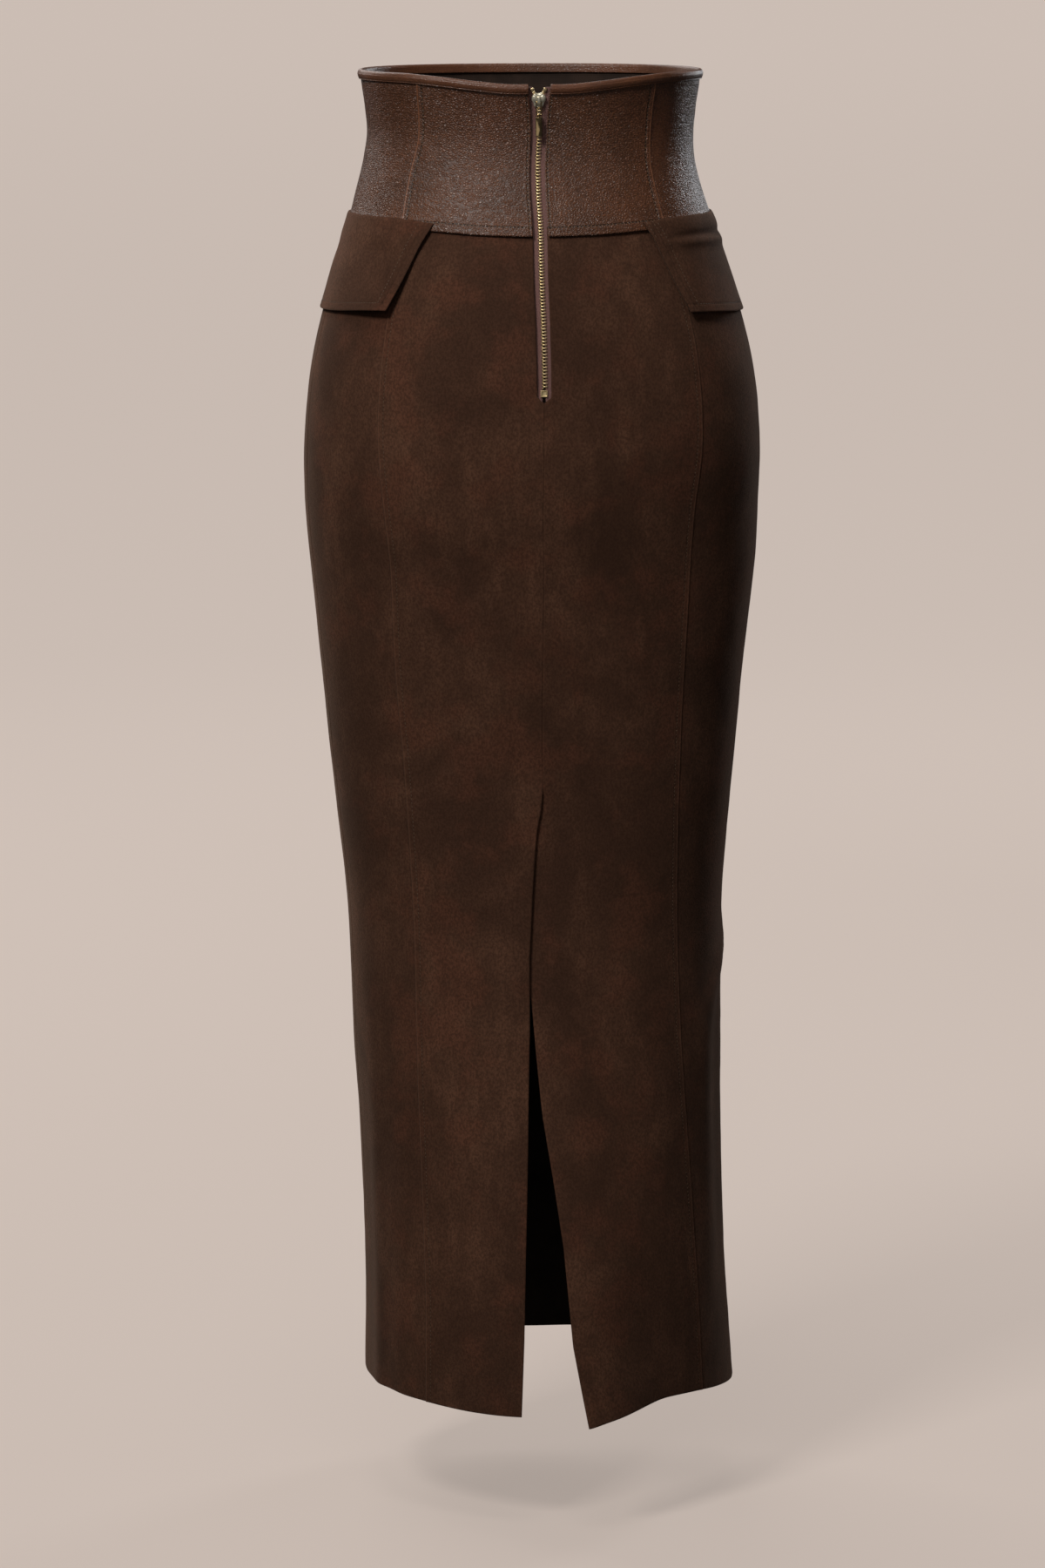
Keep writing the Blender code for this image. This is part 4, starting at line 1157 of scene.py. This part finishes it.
class SKIRT_OT_waist(Operator):
    """Lays the five leather panels of the corset waist"""

    bl_idname = "skirt.waist"
    bl_label = "Leather waist"

    def execute(self, context):
        wall = sizes().leather_wall
        for node, (panel, middle) in waist_panels().items():
            rows = panel.grid((NEAR, NEAR), middle, (NEAR_TOP, NEAR_FOOT), WAIST_ROWS)
            name = node.replace("leather", "waist")
            add_cloth(name, rows, wall, 0.25 * MM, (leather(), lining()), node)
        return {"FINISHED"}


RIM_ROOM = 0.4 * MM  # between the leather and the binding, on either face
RIM_STITCH = 0.87  # where the binding is sewn, as a share of its depth


class SKIRT_OT_rims(Operator):
    """Folds the binding over the top edge of the waist"""

    bl_idname = "skirt.rims"
    bl_label = "Bound top edge"

    def execute(self, context):
        for part, (low, high, count) in rim_ends().items():
            ends = rim_span(low, high)
            rows = []
            for out, drop, sink in rim_section():
                row = []
                for step in range(count + 1):
                    angle = between(ends, step / count)
                    top = edge_height(TOP_EDGE, angle)
                    place = form_point(angle, top - drop)
                    roll = 0.16 * MM * noise.noise(place * 70.0) * (1 if drop < 5 * MM else 0.3)
                    row.append((skin(angle, top - drop, out + roll), sink))
                rows.append(row)
            add_cloth(
                f"rim_{part}",
                rows,
                sizes().rim_wall,
                0.2 * MM,
                (leather(0.4), leather(0.4)),
                f"binding_{part}",
            )
        return {"FINISHED"}


def rim_section():
    """The folded strip's outer face: distances from the form, below the edge, and the relief that sets its painted
    shade and highlight.
    """
    sewing = sizes()
    outer = sewing.leather_lift + sewing.leather_wall + RIM_ROOM + sewing.rim_wall
    inner = sewing.leather_lift - RIM_ROOM - sewing.rim_wall
    middle, half = 0.5 * (outer + inner), 0.5 * (outer - inner)
    depth = sewing.rim_depth
    inside = [(inner, share * depth, 0.0) for share in (1.0, 0.8, 0.6, 0.45, 0.35)]
    crest = []
    for turn in range(0, 181, 15):
        around = math.radians(turn)
        crest.append((middle - half * math.cos(around), 1.6 * MM * (1 - math.sin(around)), 0.10 * MM))
    outside = []
    for share in (0.30, 0.38, 0.46, 0.54, 0.62, 0.70, 0.76, 0.80, 0.84, 0.87, 0.90, 0.95, 1.0):
        puff = 0.45 * MM * math.sin(math.pi * min(share / RIM_STITCH, 1.0)) ** 0.8
        sink = -0.55 * MM * bell(share - RIM_STITCH, 0.06)
        # The third value paints shade into the stitch groove and a faint painted highlight on the puffed strip.
        outside.append((outer + puff + sink, share * depth, sink + 0.25 * puff))
    return [*reversed(outside), *reversed(crest), *reversed(inside)]


class SKIRT_OT_panels(Operator):
    """Hangs the five suede panels of the skirt from the waist"""

    bl_idname = "skirt.panels"
    bl_label = "Suede panels"

    def execute(self, context):
        wall = sizes().suede_wall
        for node, (panel, middle) in skirt_panels().items():
            rows = panel.grid((NEAR_SUEDE, NEAR_SUEDE), middle, (NEAR_LAP, NEAR_HEM), SKIRT_ROWS)
            name = node.replace("skirt", "suede")
            add_cloth(name, rows, wall, 0.3 * MM, (suede(), lining()), node)
        return {"FINISHED"}


def flap_lift(flap, angle, down):
    """The distance from the form to a flap's inner face; down is 0 at its top and 1 at its foot."""
    lift = between((FLAP_LIFT_TOP, FLAP_LIFT_LOW), eased(between(FLAP_SETTLES, down)))
    from_back = angle - smooth(FLAP_ENDS, "down", "back", down)
    return lift + flap.corner_lift * down**2 * bell(from_back, FLAP_CURL)


FLAP_STITCH = 6.5 * MM
# The right flap is rolled near its top: a trough between two ridges, each by its distance below the
# top, how it slants and dips towards the front, and its rise and width.
FlapRoll = namedtuple("FlapRoll", "below slant dip rise width")
FLAP_ROLLS = (
    FlapRoll(14.5 * MM, 1.5 * MM, 0.0, -1.1 * MM, 2.6 * MM),
    FlapRoll(20.0 * MM, 1.5 * MM, 4.0 * MM, 0.8 * MM, 3.0 * MM),
    FlapRoll(6.5 * MM, 1.5 * MM, 0.0, 0.5 * MM, 5.0 * MM),
)
FLAP_HEM = Margin(0.40 * MM, 0.7 * MM, 0.12 * MM, FLAP_STITCH, 0.26 * MM, 0.10 * MM)


def flap_point(flap, share, down):
    """A place on a flap's outer face by its share across and down, with the relief that sets its painted shade and
    highlight, and its angle.
    """
    ends = [smooth(FLAP_ENDS, "down", end, down) for end in ("back", "front")]
    angle = between(ends, share)
    foot = edge_height(FLAP_BOTTOM, angle) - flap.drop
    top = edge_height(FLAP_TOP, angle)
    height = between((top, foot), down)
    degree = degree_at(flap.side * angle, height)
    from_ends = ((angle - ends[0]) * degree, (ends[1] - angle) * degree)
    relief, shade = margin_relief(FLAP_HEM, height - foot)
    for away in from_ends:
        side_relief, side_shade = margin_relief(FLAP_HEM, 0.92 * away)
        relief, shade = relief + side_relief, shade + side_shade
    relief -= 0.5 * MM * bell(top - height, 1.2 * MM)
    swell = 0.35 * MM * math.sin(math.pi * min(down * 1.2, 1.0)) * math.sin(math.pi * share)
    roll = 0.0
    if flap.side < 0:
        for ridge in FLAP_ROLLS:
            middle = top - ridge.below - ridge.slant * share - ridge.dip * share**2
            roll += ridge.rise * bell(height - middle, ridge.width)
        roll *= eased((share - 0.02) / 0.25)
    base = form_point(flap.side * angle, height)
    waves = unevenness(base, 0.35 * MM, 0.03)
    out = flap_lift(flap, angle, down) + sizes().flap_wall + relief + swell + roll + waves
    return skin(flap.side * angle, height, max(out, sizes().flap_wall + 0.7 * MM)), shade, flap.side * angle, height


class SKIRT_OT_flaps(Operator):
    """Sews a pocket flap over the waist's lower edge on either side"""

    bl_idname = "skirt.flaps"
    bl_label = "Pocket flaps"

    def execute(self, context):
        for side, flap in FLAPS.items():
            downs = [step / 70 for step in range(64)]
            downs += [1 - 0.0078 * (12 - step) for step in range(13)]
            near = steps(0.0, 0.0052, 15)
            shares = near + [between((near[-1], 1 - near[-1]), step / 56) for step in range(1, 56)]
            shares += [1 - share for share in reversed(near)]
            if flap.side < 0:
                shares = shares[::-1]
            rows = [[flap_point(flap, share, down)[:2] for share in shares] for down in downs]
            add_cloth(
                f"pocket_{side}",
                rows,
                sizes().flap_wall,
                0.5 * MM,
                (suede(), suede()),
                f"flap_{side}",
            )
        return {"FINISHED"}


def flap_line(flap, corners):
    """Places and normals along straight lines between (share, down) corners of a flap."""
    line = []
    for start, end in zip(corners, corners[1:]):
        for step in range(60):
            share, down = between((start[0], end[0]), step / 60), between((start[1], end[1]), step / 60)
            place, _, angle, height = flap_point(flap, share, down)
            line.append((place, outward(angle, height)))
    return line


SUEDE_THREAD = 0.42  # the thread's tone on suede, as a share of its tone on leather


class SKIRT_OT_stitching(Operator):
    """Sews the topstitching of the waist, the skirt and the flaps"""

    bl_idname = "skirt.stitching"
    bl_label = "Topstitching"

    def execute(self, context):
        waist, skirt = waist_panels(), skirt_panels()
        lines = []
        for node, sides in (("leather_back_left", ("low", "high")), ("leather_back_right", ("low", "high"))):
            panel = waist[node][0]
            lines += [panel.stitch_line(side, 6.5 * MM) for side in sides]
        lines += [panel.level_stitches("bottom") for panel, _ in waist.values()]
        lines += [rim_line(low, high) for low, high, _ in rim_ends().values()]
        add_stitches("stitches_waist", lines, 1.0)
        back_left, back_right = skirt["skirt_back_left"][0], skirt["skirt_back_right"][0]
        lines = [back_left.stitch_line("high"), back_right.stitch_line("low")]
        add_stitches("stitches_skirt", lines, SUEDE_THREAD)
        lines = []
        for flap in FLAPS.values():
            lines.append(flap_line(flap, ((0.080, 0.03), (0.088, 0.913), (0.912, 0.913), (0.920, 0.03))))
        right = FLAPS["right"]
        lines += [flap_line(right, ((share, 0.0), (share, 0.20))) for share in (0.018, 0.055)]
        add_stitches("stitches_flaps", lines, SUEDE_THREAD)
        return {"FINISHED"}


def rim_ends():
    """The low and the high end of each length of binding, and its number of columns."""
    left_end, front_start, front_end, right_start = side_edges()
    return {
        "back_left": (leather_opening("left"), left_end, 110),
        "back_right": (right_start, leather_opening("right"), 110),
        "front": (front_start, front_end, 220),
    }


def rim_span(low, high):
    """The angles of a binding's two ends at the top edge."""
    return [edge(edge_height(TOP_EDGE, edge(0))) for edge in (low, high)]


def rim_line(low, high):
    """Places and normals along the stitches near the binding's lower edge."""
    sewing = sizes()
    out = sewing.leather_lift + sewing.leather_wall + RIM_ROOM + sewing.rim_wall - 0.35 * MM
    drop = RIM_STITCH * sewing.rim_depth
    ends = rim_span(low, high)
    line = []
    count = int(abs(ends[1] - ends[0]) / 0.5)
    for step in range(count + 1):
        angle = between(ends, step / count)
        height = edge_height(TOP_EDGE, angle) - drop
        line.append((skin(angle, height, out), outward(angle, height)))
    return line


# ---- The zip ------------------------------------------------------------------------------------


def tape_plane(height):
    return straight(TAPE_LINES, "height", "plane", height)


def zip_frame(across, height):
    """A frame on the tape's middle plane: X across, Y out of the skirt, Z up along the zip."""
    angle = angle_at(across, height)
    up = upward(angle, height)
    side = Vector((1.0, 0.0, 0.0))
    out = up.cross(side)
    turn = Matrix((side, out, side.cross(out))).transposed().to_4x4()
    return Matrix.Translation(skin(angle, height, tape_plane(height))) @ turn


class SKIRT_OT_tapes(Operator):
    """Lays the two woven tapes of the zip"""

    bl_idname = "skirt.tapes"
    bl_label = "Zip tapes"

    def execute(self, context):
        wall = sizes().tape_wall
        top, foot = TAPE_LINES[0].height, TAPE_LINES[-1].height
        for side, sign in (("left", 1), ("right", -1)):
            rows = []
            for step in range(125):
                height = between((top, foot), step / 124)
                inner = straight(TAPE_LINES, "height", "edge", height)
                row = []
                for column in range(19):
                    across = between((inner, TAPE_REACH), column / 18)
                    cord = 0.22 * MM * bell(across - inner - 0.8 * MM, 0.8 * MM)
                    out = tape_plane(height) + 0.5 * wall + cord
                    row.append((skin(angle_at(sign * across, height), height, out), 0.0))
                rows.append(row if sign > 0 else row[::-1])
            add_cloth(
                f"tape_{side}",
                rows,
                wall,
                0.15 * MM,
                (tape_weave(), tape_weave()),
                f"zip_tape_{side}",
            )
        return {"FINISHED"}


def boxed(name, size, centre=(0.0, 0.0, 0.0), rounding=0.2 * MM, segments=2):
    """A block drawn at its size and place with rounded edges, ready for more shaping."""
    deselect()
    bpy.ops.mesh.primitive_cube_add(size=1.0, location=centre, scale=size)
    bpy.ops.object.transform_apply(location=True, rotation=True, scale=True)
    piece = named(name)
    if rounding:
        apply_modifier(piece, "BEVEL", width=rounding, segments=segments, limit_method="NONE")
    return piece


def set_in(piece, frame_matrix):
    """Moves a piece's mesh into its frame, and leaves its object at the origin."""
    piece.data.transform(frame_matrix)
    piece.data.update()


def finish_metal(piece, body, replaced=(), plating=SATIN):
    piece.data.materials.clear()
    piece.data.materials.append(gold(plating))
    bpy.context.view_layer.objects.active = piece
    piece.select_set(True)
    bpy.ops.object.shade_smooth_by_angle(angle=math.radians(35))
    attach(piece, body)
    if replaced:
        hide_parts(*replaced)
    return piece


def pressed_tooth():
    """One tooth: a bar that grips the tape, with a rounded head whose face is dimpled."""
    piece = boxed("tooth", (3.7 * MM, 2.2 * MM, 1.50 * MM), rounding=0.0)
    edit_faces(piece, lambda normal: normal.y > 0.9)
    bpy.ops.mesh.inset(thickness=0.38 * MM, depth=-0.02 * MM)
    bpy.ops.mesh.subdivide(number_cuts=1)
    bpy.ops.object.mode_set(mode="OBJECT")
    for vertex in piece.data.vertices:
        x, y, z = vertex.co
        if y > 1.2 * MM and abs(x) < 0.3 * MM and abs(z) < 0.4 * MM:
            vertex.co.y = y - 0.32 * MM
        if abs(x) > 1.7 * MM:
            vertex.co.z = z * 0.72
            vertex.co.y = y * 0.80
    apply_modifier(piece, "BEVEL", width=0.16 * MM, segments=2, limit_method="ANGLE", angle_limit=math.radians(40))
    return piece


# The two rows of closed teeth: how far across and out each stands, its width and its turn.
TOOTH_ROWS = ((-0.90 * MM, 0.35 * MM, 1.0, 0), (1.45 * MM, -0.50 * MM, 0.62, 180))
# The open teeth above the slider: how far across, at what height, and how far they lean.
OPEN_TEETH = ((2.9 * MM, 0.0336, 34), (3.9 * MM, 0.0354, 40))


class SKIRT_OT_teeth(Operator):
    """Sets the closed rows of zip teeth, and the open ones above the slider"""

    bl_idname = "skirt.teeth"
    bl_label = "Zip teeth"

    def execute(self, context):
        pitch = sizes().zip_pitch
        tooth = pressed_tooth()
        frames = []
        height, row = CHAIN_TOP - 0.7 * MM, 0
        while height > CHAIN_END + 0.5 * MM:
            base = zip_frame(0.0, height)
            shift, out, narrow, turn = TOOTH_ROWS[row % 2]
            size = Matrix.Diagonal((narrow, 1.0, 0.7 + 0.3 * narrow, 1.0))
            place = Matrix.Translation((shift, out, 0.0)) @ Matrix.Rotation(math.radians(turn), 4, "Y")
            frames.append(base @ place @ size)
            height -= 0.5 * pitch * upward(0.0, height).z
            row += 1
        for across, at, lean in OPEN_TEETH:
            for sign in (1, -1):
                place = zip_frame(sign * across, at) @ Matrix.Rotation(math.radians(sign * lean), 4, "Y")
                frames.append(place @ Matrix.Diagonal((0.62, 0.9, 1.0, 1.0)))
        piece = stamp("zip_teeth", tooth, frames)
        finish_metal(piece, BODY, ["zip_chain"])
        return {"FINISHED"}


class SKIRT_OT_stops(Operator):
    """Presses the zip's bottom stop and its two top stops"""

    bl_idname = "skirt.stops"
    bl_label = "Zip stops"

    def execute(self, context):
        low, high = (CHAIN_END - 5.5 * MM, CHAIN_END - 0.3 * MM)
        piece = boxed("stop_bottom", (5.5 * MM, 3.2 * MM, high - low), rounding=0.0)
        edit_faces(piece, lambda normal: normal.y > 0.9)
        bpy.ops.mesh.inset(thickness=0.75 * MM, depth=0.0)
        bpy.ops.mesh.inset(thickness=0.15 * MM, depth=-0.35 * MM)
        bpy.ops.object.mode_set(mode="OBJECT")
        apply_modifier(piece, "BEVEL", width=0.22 * MM, segments=3, limit_method="ANGLE")
        set_in(piece, zip_frame(0.0, 0.5 * (low + high)))
        finish_metal(piece, BODY, ["zip_stop_bottom"])
        for side, sign in (("left", 1), ("right", -1)):
            stop = boxed(f"stop_{side}", (2.5 * MM, 2.6 * MM, 3.0 * MM), rounding=0.5 * MM, segments=3)
            lean = Matrix.Rotation(math.radians(18 * sign), 4, "Y")
            set_in(stop, zip_frame(sign * 5.0 * MM, 0.0378) @ Matrix.Translation((0.0, 0.3 * MM, 0.0)) @ lean)
            finish_metal(stop, BODY, [f"zip_stop_{side}"])
        return {"FINISHED"}


def plate(name, outline, near, far, rounding):
    """A flat plate with this outline, in millimetres across and along the zip, its edges rounded."""
    corners = [(across * MM, near, along * MM) for across, along in outline]
    piece = pushed_out(name, corners, (0.0, far - near, 0.0))
    apply_modifier(piece, "BEVEL", width=rounding, segments=3, limit_method="ANGLE", angle_limit=math.radians(50))
    return piece


# In millimetres: the slider's right half across and along the zip, and its bridge out and along.
SLIDER_OUTLINE = (
    (0.9, 4.3), (2.3, 5.2), (4.2, 4.6), (5.7, 1.9), (5.2, -0.6), (4.0, -2.0), (3.7, -4.6), (2.8, -5.2),
)
BRIDGE_OUTLINE = (
    (2.4, 3.4), (4.3, 3.1), (4.8, 2.5), (4.8, -2.1), (4.3, -2.7),
    (2.4, -3.0), (2.4, -1.9), (4.0, -1.7), (4.0, 2.1), (2.4, 2.3),
)
BRIDGE_WIDTH = 1.7 * MM


def rounded_outline(points, rounds=2):
    """The outline with its corners cut smooth."""
    for _ in range(rounds):
        cut = []
        for (x0, y0), (x1, y1) in zip(points, [*points[1:], points[0]]):
            cut.append((0.75 * x0 + 0.25 * x1, 0.75 * y0 + 0.25 * y1))
            cut.append((0.25 * x0 + 0.75 * x1, 0.25 * y0 + 0.75 * y1))
        points = cut
    return points


def wing(sign):
    """One domed half of the slider's crown, drawn in towards its middle."""
    deselect()
    bpy.ops.mesh.primitive_uv_sphere_add(segments=24, ring_count=14, radius=1.0)
    piece = named(f"wing_{sign}")
    lean = math.radians(-26 * sign)
    for vertex in piece.data.vertices:
        x, y, z = vertex.co
        across, along = 2.35 * x, 3.0 * z * (1 - 0.12 * z)
        vertex.co = (
            (sign * 3.0 + across * math.cos(lean) - along * math.sin(lean)) * MM,
            (2.66 + max(y, -0.2) * 0.75) * MM,
            (1.3 + across * math.sin(lean) + along * math.cos(lean)) * MM,
        )
    return piece


class SKIRT_OT_slider(Operator):
    """Builds the zip's slider: two heart-shaped plates, a domed crown and the bridge for the pull"""

    bl_idname = "skirt.slider"
    bl_label = "Zip slider"

    def execute(self, context):
        half = SLIDER_OUTLINE
        outline = rounded_outline(half + tuple((-across, along) for across, along in reversed(half)))
        top = plate("slider", outline, 1.5 * MM, 2.7 * MM, 0.30 * MM)
        parts = [plate("slider_back", outline, -2.7 * MM, -1.5 * MM, 0.30 * MM)]
        wedge = ((-1.3, 4.0), (1.3, 4.0), (0.4, 0.8), (-0.4, 0.8))
        parts.append(plate("slider_wedge", wedge, -2.0 * MM, 2.0 * MM, 0.1 * MM))
        corners = [(-0.5 * BRIDGE_WIDTH, out * MM, along * MM) for out, along in BRIDGE_OUTLINE]
        bridge = pushed_out("slider_bridge", corners, (BRIDGE_WIDTH, 0.0, 0.0))
        for vertex in bridge.data.vertices:
            narrow = between((1.0, 0.80), eased((3.0 * MM + vertex.co.z) / (6.4 * MM)))
            vertex.co.x *= 1.55 * narrow
        apply_modifier(bridge, "BEVEL", width=0.22 * MM, segments=3, limit_method="ANGLE")
        parts.append(bridge)
        parts += [wing(1), wing(-1)]
        join_to(top, *parts)
        set_in(top, zip_frame(0.0, SLIDER_HEIGHT))
        top.name = "crown_slider"
        # The slider's gold is paled as a painted highlight.
        finish_metal(top, BODY, ["zip_slider"], PAINTED_HIGHLIGHT_GOLD)
        return {"FINISHED"}


LINK_HALF_WIDTH = 1.95 * MM
LINK_LENGTH = 10.2 * MM
LINK_CORNER = 0.6 * MM
BAR_SIZE = (4.9 * MM, 1.2 * MM, 14.8 * MM)
BAR_DROP = 1.9 * MM


class SKIRT_OT_pull(Operator):
    """Hangs the wire link on the slider and the polished bar on the link"""

    bl_idname = "skirt.pull"
    bl_label = "Zip pull"

    def execute(self, context):
        pivot = zip_frame(0.0, SLIDER_HEIGHT) @ Vector((0.0, 3.35 * MM, -1.0 * MM))
        corners = []
        for across, foot, start in ((-1, 0, 180), (1, 0, 90), (1, 1, 0), (-1, 1, 270)):
            middle_x = across * (LINK_HALF_WIDTH - LINK_CORNER)
            middle_z = between((-LINK_CORNER, LINK_CORNER - LINK_LENGTH), foot)
            for step in range(6):
                turn = math.radians(start - 90 * step / 5)
                corners.append(
                    Vector((middle_x + LINK_CORNER * math.cos(turn), 0.0, middle_z + LINK_CORNER * math.sin(turn)))
                )
        deselect()
        bpy.ops.mesh.primitive_circle_add(vertices=len(corners), radius=1.0, fill_type="NOTHING")
        link = named("wire_link")
        for vertex, corner in zip(link.data.vertices, corners):
            vertex.co = corner + pivot
        bpy.ops.object.convert(target="CURVE")
        link = bpy.context.object
        link.data.bevel_depth = 0.4 * MM
        link.data.bevel_resolution = 4
        bpy.ops.object.convert(target="MESH")
        link = named("wire_link")
        # The link and the bar are darkened as a painted dark reflection.
        finish_metal(link, "pull_link", ["zip_link"], POLISHED)

        bar = boxed("pull_plate", BAR_SIZE, (0.0, 0.0, -BAR_DROP - 0.5 * BAR_SIZE[2]), rounding=0.0)
        edit_faces(bar, lambda normal: abs(normal.y) > 0.9)
        bpy.ops.mesh.inset(thickness=0.45 * MM, depth=0.12 * MM, use_individual=True)
        bpy.ops.object.mode_set(mode="OBJECT")
        apply_modifier(bar, "BEVEL", width=0.12 * MM, segments=3, limit_method="ANGLE", angle_limit=math.radians(20))
        neck = boxed("neck", (2.2 * MM, 1.1 * MM, 2.0 * MM), (0.0, 0.0, -1.5 * MM), 0.25 * MM, 2)
        deselect()
        bpy.ops.mesh.primitive_torus_add(
            major_radius=1.0 * MM,
            minor_radius=0.27 * MM,
            major_segments=28,
            minor_segments=10,
            rotation=(0.0, math.pi / 2, 0.0),
        )
        bpy.ops.object.transform_apply(location=True, rotation=True, scale=True)
        eye = named("eye")
        for vertex in eye.data.vertices:
            vertex.co.x *= 3.6
        join_to(bar, neck, eye)
        set_in(bar, Matrix.Translation(pivot - Vector((0.0, 0.0, LINK_LENGTH))))
        finish_metal(bar, "pull_bar", ["zip_bar"], POLISHED)
        return {"FINISHED"}


# ---- The studio ---------------------------------------------------------------------------------

FLOOR = -1.097  # the height of the floor, 87 mm under the hem
FLOOR_REACH = 60.0  # metres, so that it runs to the horizon on every side
FLOOR_RING = 0.9  # the share of the reach that is a ring round the middle
SKY_COLOUR, SKY_STRENGTH = (0.80, 0.78, 0.76, 1.0), 0.045
CAMERA_PLACE = Vector((0.34878, 4.98782, 0.27))
CAMERA_YAW = math.radians(3.9286)
CAMERA_PITCH = math.radians(9.007)
CAMERA_LENS = 144.366
CAMERA_SENSOR = 36.0  # millimetres along the picture's long side
Lamp = namedtuple("Lamp", "name place aim size power tint")  # in metres and watts
LAMPS = (
    Lamp("key", (1.8, 2.5, 2.75), (0.0, 0.0, -0.2), (1.0, 1.0), 92.0, (1.0, 0.975, 0.945)),
    Lamp("top", (0.3, 1.3, 3.6), (0.0, 0.1, 0.0), (1.2, 1.0), 24.0, (1.0, 0.975, 0.95)),
    Lamp("fill", (0.5, 4.7, 1.35), (0.0, 0.0, -0.3), (1.3, 0.8), 7.0, (1.0, 0.98, 0.96)),
    Lamp("card", (0.2, 3.2, -0.55), (0.0, 0.0, 0.0), (1.4, 0.8), 1.8, (1.0, 0.97, 0.93)),
    Lamp("side", (-1.45, -1.5, 0.5), (0.0, 0.0, -0.05), (0.5, 0.9), 11.0, (0.95, 0.97, 1.0)),
    Lamp("rim", (1.5, -1.55, 0.95), (0.0, 0.0, -0.2), (0.5, 1.6), 9.0, (1.0, 0.97, 0.94)),
    Lamp("front", (0.8, -2.7, 1.7), (0.0, 0.0, -0.4), (2.2, 1.6), 30.0, (1.0, 0.98, 0.96)),
)


class SKIRT_OT_studio(Operator):
    """Sets the wide floor, the soft lights and the camera"""

    bl_idname = "skirt.studio"
    bl_label = "Studio"

    def execute(self, context):
        deselect()
        bpy.ops.mesh.primitive_circle_add(vertices=96, radius=FLOOR_REACH, fill_type="NGON", location=(0, 0, FLOOR))
        bpy.ops.object.transform_apply(location=True, rotation=True, scale=True)
        floor = named("studio_floor")
        bpy.ops.object.mode_set(mode="EDIT")
        bpy.ops.mesh.select_all(action="SELECT")
        bpy.ops.mesh.inset(thickness=FLOOR_RING * FLOOR_REACH)
        bpy.ops.object.mode_set(mode="OBJECT")
        floor.data.materials.append(studio_paint())
        floor.visible_diffuse = floor.visible_glossy = False

        for lamp in LAMPS:
            bpy.ops.object.light_add(type="AREA", location=lamp.place)
            light = named(lamp.name)
            light.data.shape = "RECTANGLE"
            light.data.size, light.data.size_y = lamp.size
            light.data.energy = lamp.power
            light.data.color = lamp.tint
            aim = Vector(lamp.aim) - Vector(lamp.place)
            light.rotation_euler = aim.to_track_quat("-Z", "Y").to_euler()

        # The sky lights the skirt dimly. Past the floor's rim it is seen in the floor's own colour.
        world = bpy.data.worlds.new("Studio_light")
        world.use_nodes = True
        nodes, links = world.node_tree.nodes, world.node_tree.links
        sky, seen = nodes["Background"], nodes.new("ShaderNodeBackground")
        sky.inputs["Color"].default_value = SKY_COLOUR
        sky.inputs["Strength"].default_value = SKY_STRENGTH
        seen.inputs["Color"].default_value = (*context.scene.skirt_colours.studio, 1.0)
        either, path = nodes.new("ShaderNodeMixShader"), nodes.new("ShaderNodeLightPath")
        links.new(path.outputs["Is Camera Ray"], either.inputs[0])
        links.new(sky.outputs[0], either.inputs[1])
        links.new(seen.outputs[0], either.inputs[2])
        links.new(either.outputs[0], nodes["World Output"].inputs[0])
        context.scene.world = world

        bpy.ops.object.camera_add(location=CAMERA_PLACE)
        camera = named("photo_camera")
        ahead = Vector(
            (
                -math.sin(CAMERA_YAW) * math.cos(CAMERA_PITCH),
                -math.cos(CAMERA_YAW) * math.cos(CAMERA_PITCH),
                -math.sin(CAMERA_PITCH),
            )
        )
        camera.rotation_euler = ahead.to_track_quat("-Z", "Y").to_euler()
        camera.data.sensor_width = CAMERA_SENSOR
        camera.data.lens = CAMERA_LENS
        camera.data.clip_end = FLOOR_REACH
        context.scene.camera = camera
        context.scene.view_settings.view_transform = "Standard"
        return {"FINISHED"}


class SKIRT_PT_sidebar(Panel):
    """The skirt's sizes, colours and pieces"""

    bl_idname = "SKIRT_PT_sidebar"
    bl_label = "Maxi Skirt"
    bl_space_type = "VIEW_3D"
    bl_region_type = "UI"
    bl_category = "Skirt"

    def draw(self, context):
        layout = self.layout
        for group in (context.scene.skirt_sizes, context.scene.skirt_colours):
            box = layout.box()
            for name in group.__annotations__:
                box.prop(group, name)
        for piece in OPERATORS:
            layout.operator(piece.bl_idname)


OPERATORS = (
    SKIRT_OT_waist,
    SKIRT_OT_rims,
    SKIRT_OT_panels,
    SKIRT_OT_flaps,
    SKIRT_OT_stitching,
    SKIRT_OT_tapes,
    SKIRT_OT_teeth,
    SKIRT_OT_stops,
    SKIRT_OT_slider,
    SKIRT_OT_pull,
    SKIRT_OT_studio,
)
CLASSES = (SkirtSizes, SkirtColours, *OPERATORS, SKIRT_PT_sidebar)


def register():
    for item in CLASSES:
        bpy.utils.register_class(item)
    bpy.types.Scene.skirt_sizes = PointerProperty(type=SkirtSizes)
    bpy.types.Scene.skirt_colours = PointerProperty(type=SkirtColours)


def unregister():
    del bpy.types.Scene.skirt_colours
    del bpy.types.Scene.skirt_sizes
    for item in reversed(CLASSES):
        bpy.utils.unregister_class(item)


def main():
    register()
    for piece in OPERATORS:
        _, name = piece.bl_idname.split(".")
        getattr(bpy.ops.skirt, name)()


if __name__ == "__main__":
    main()
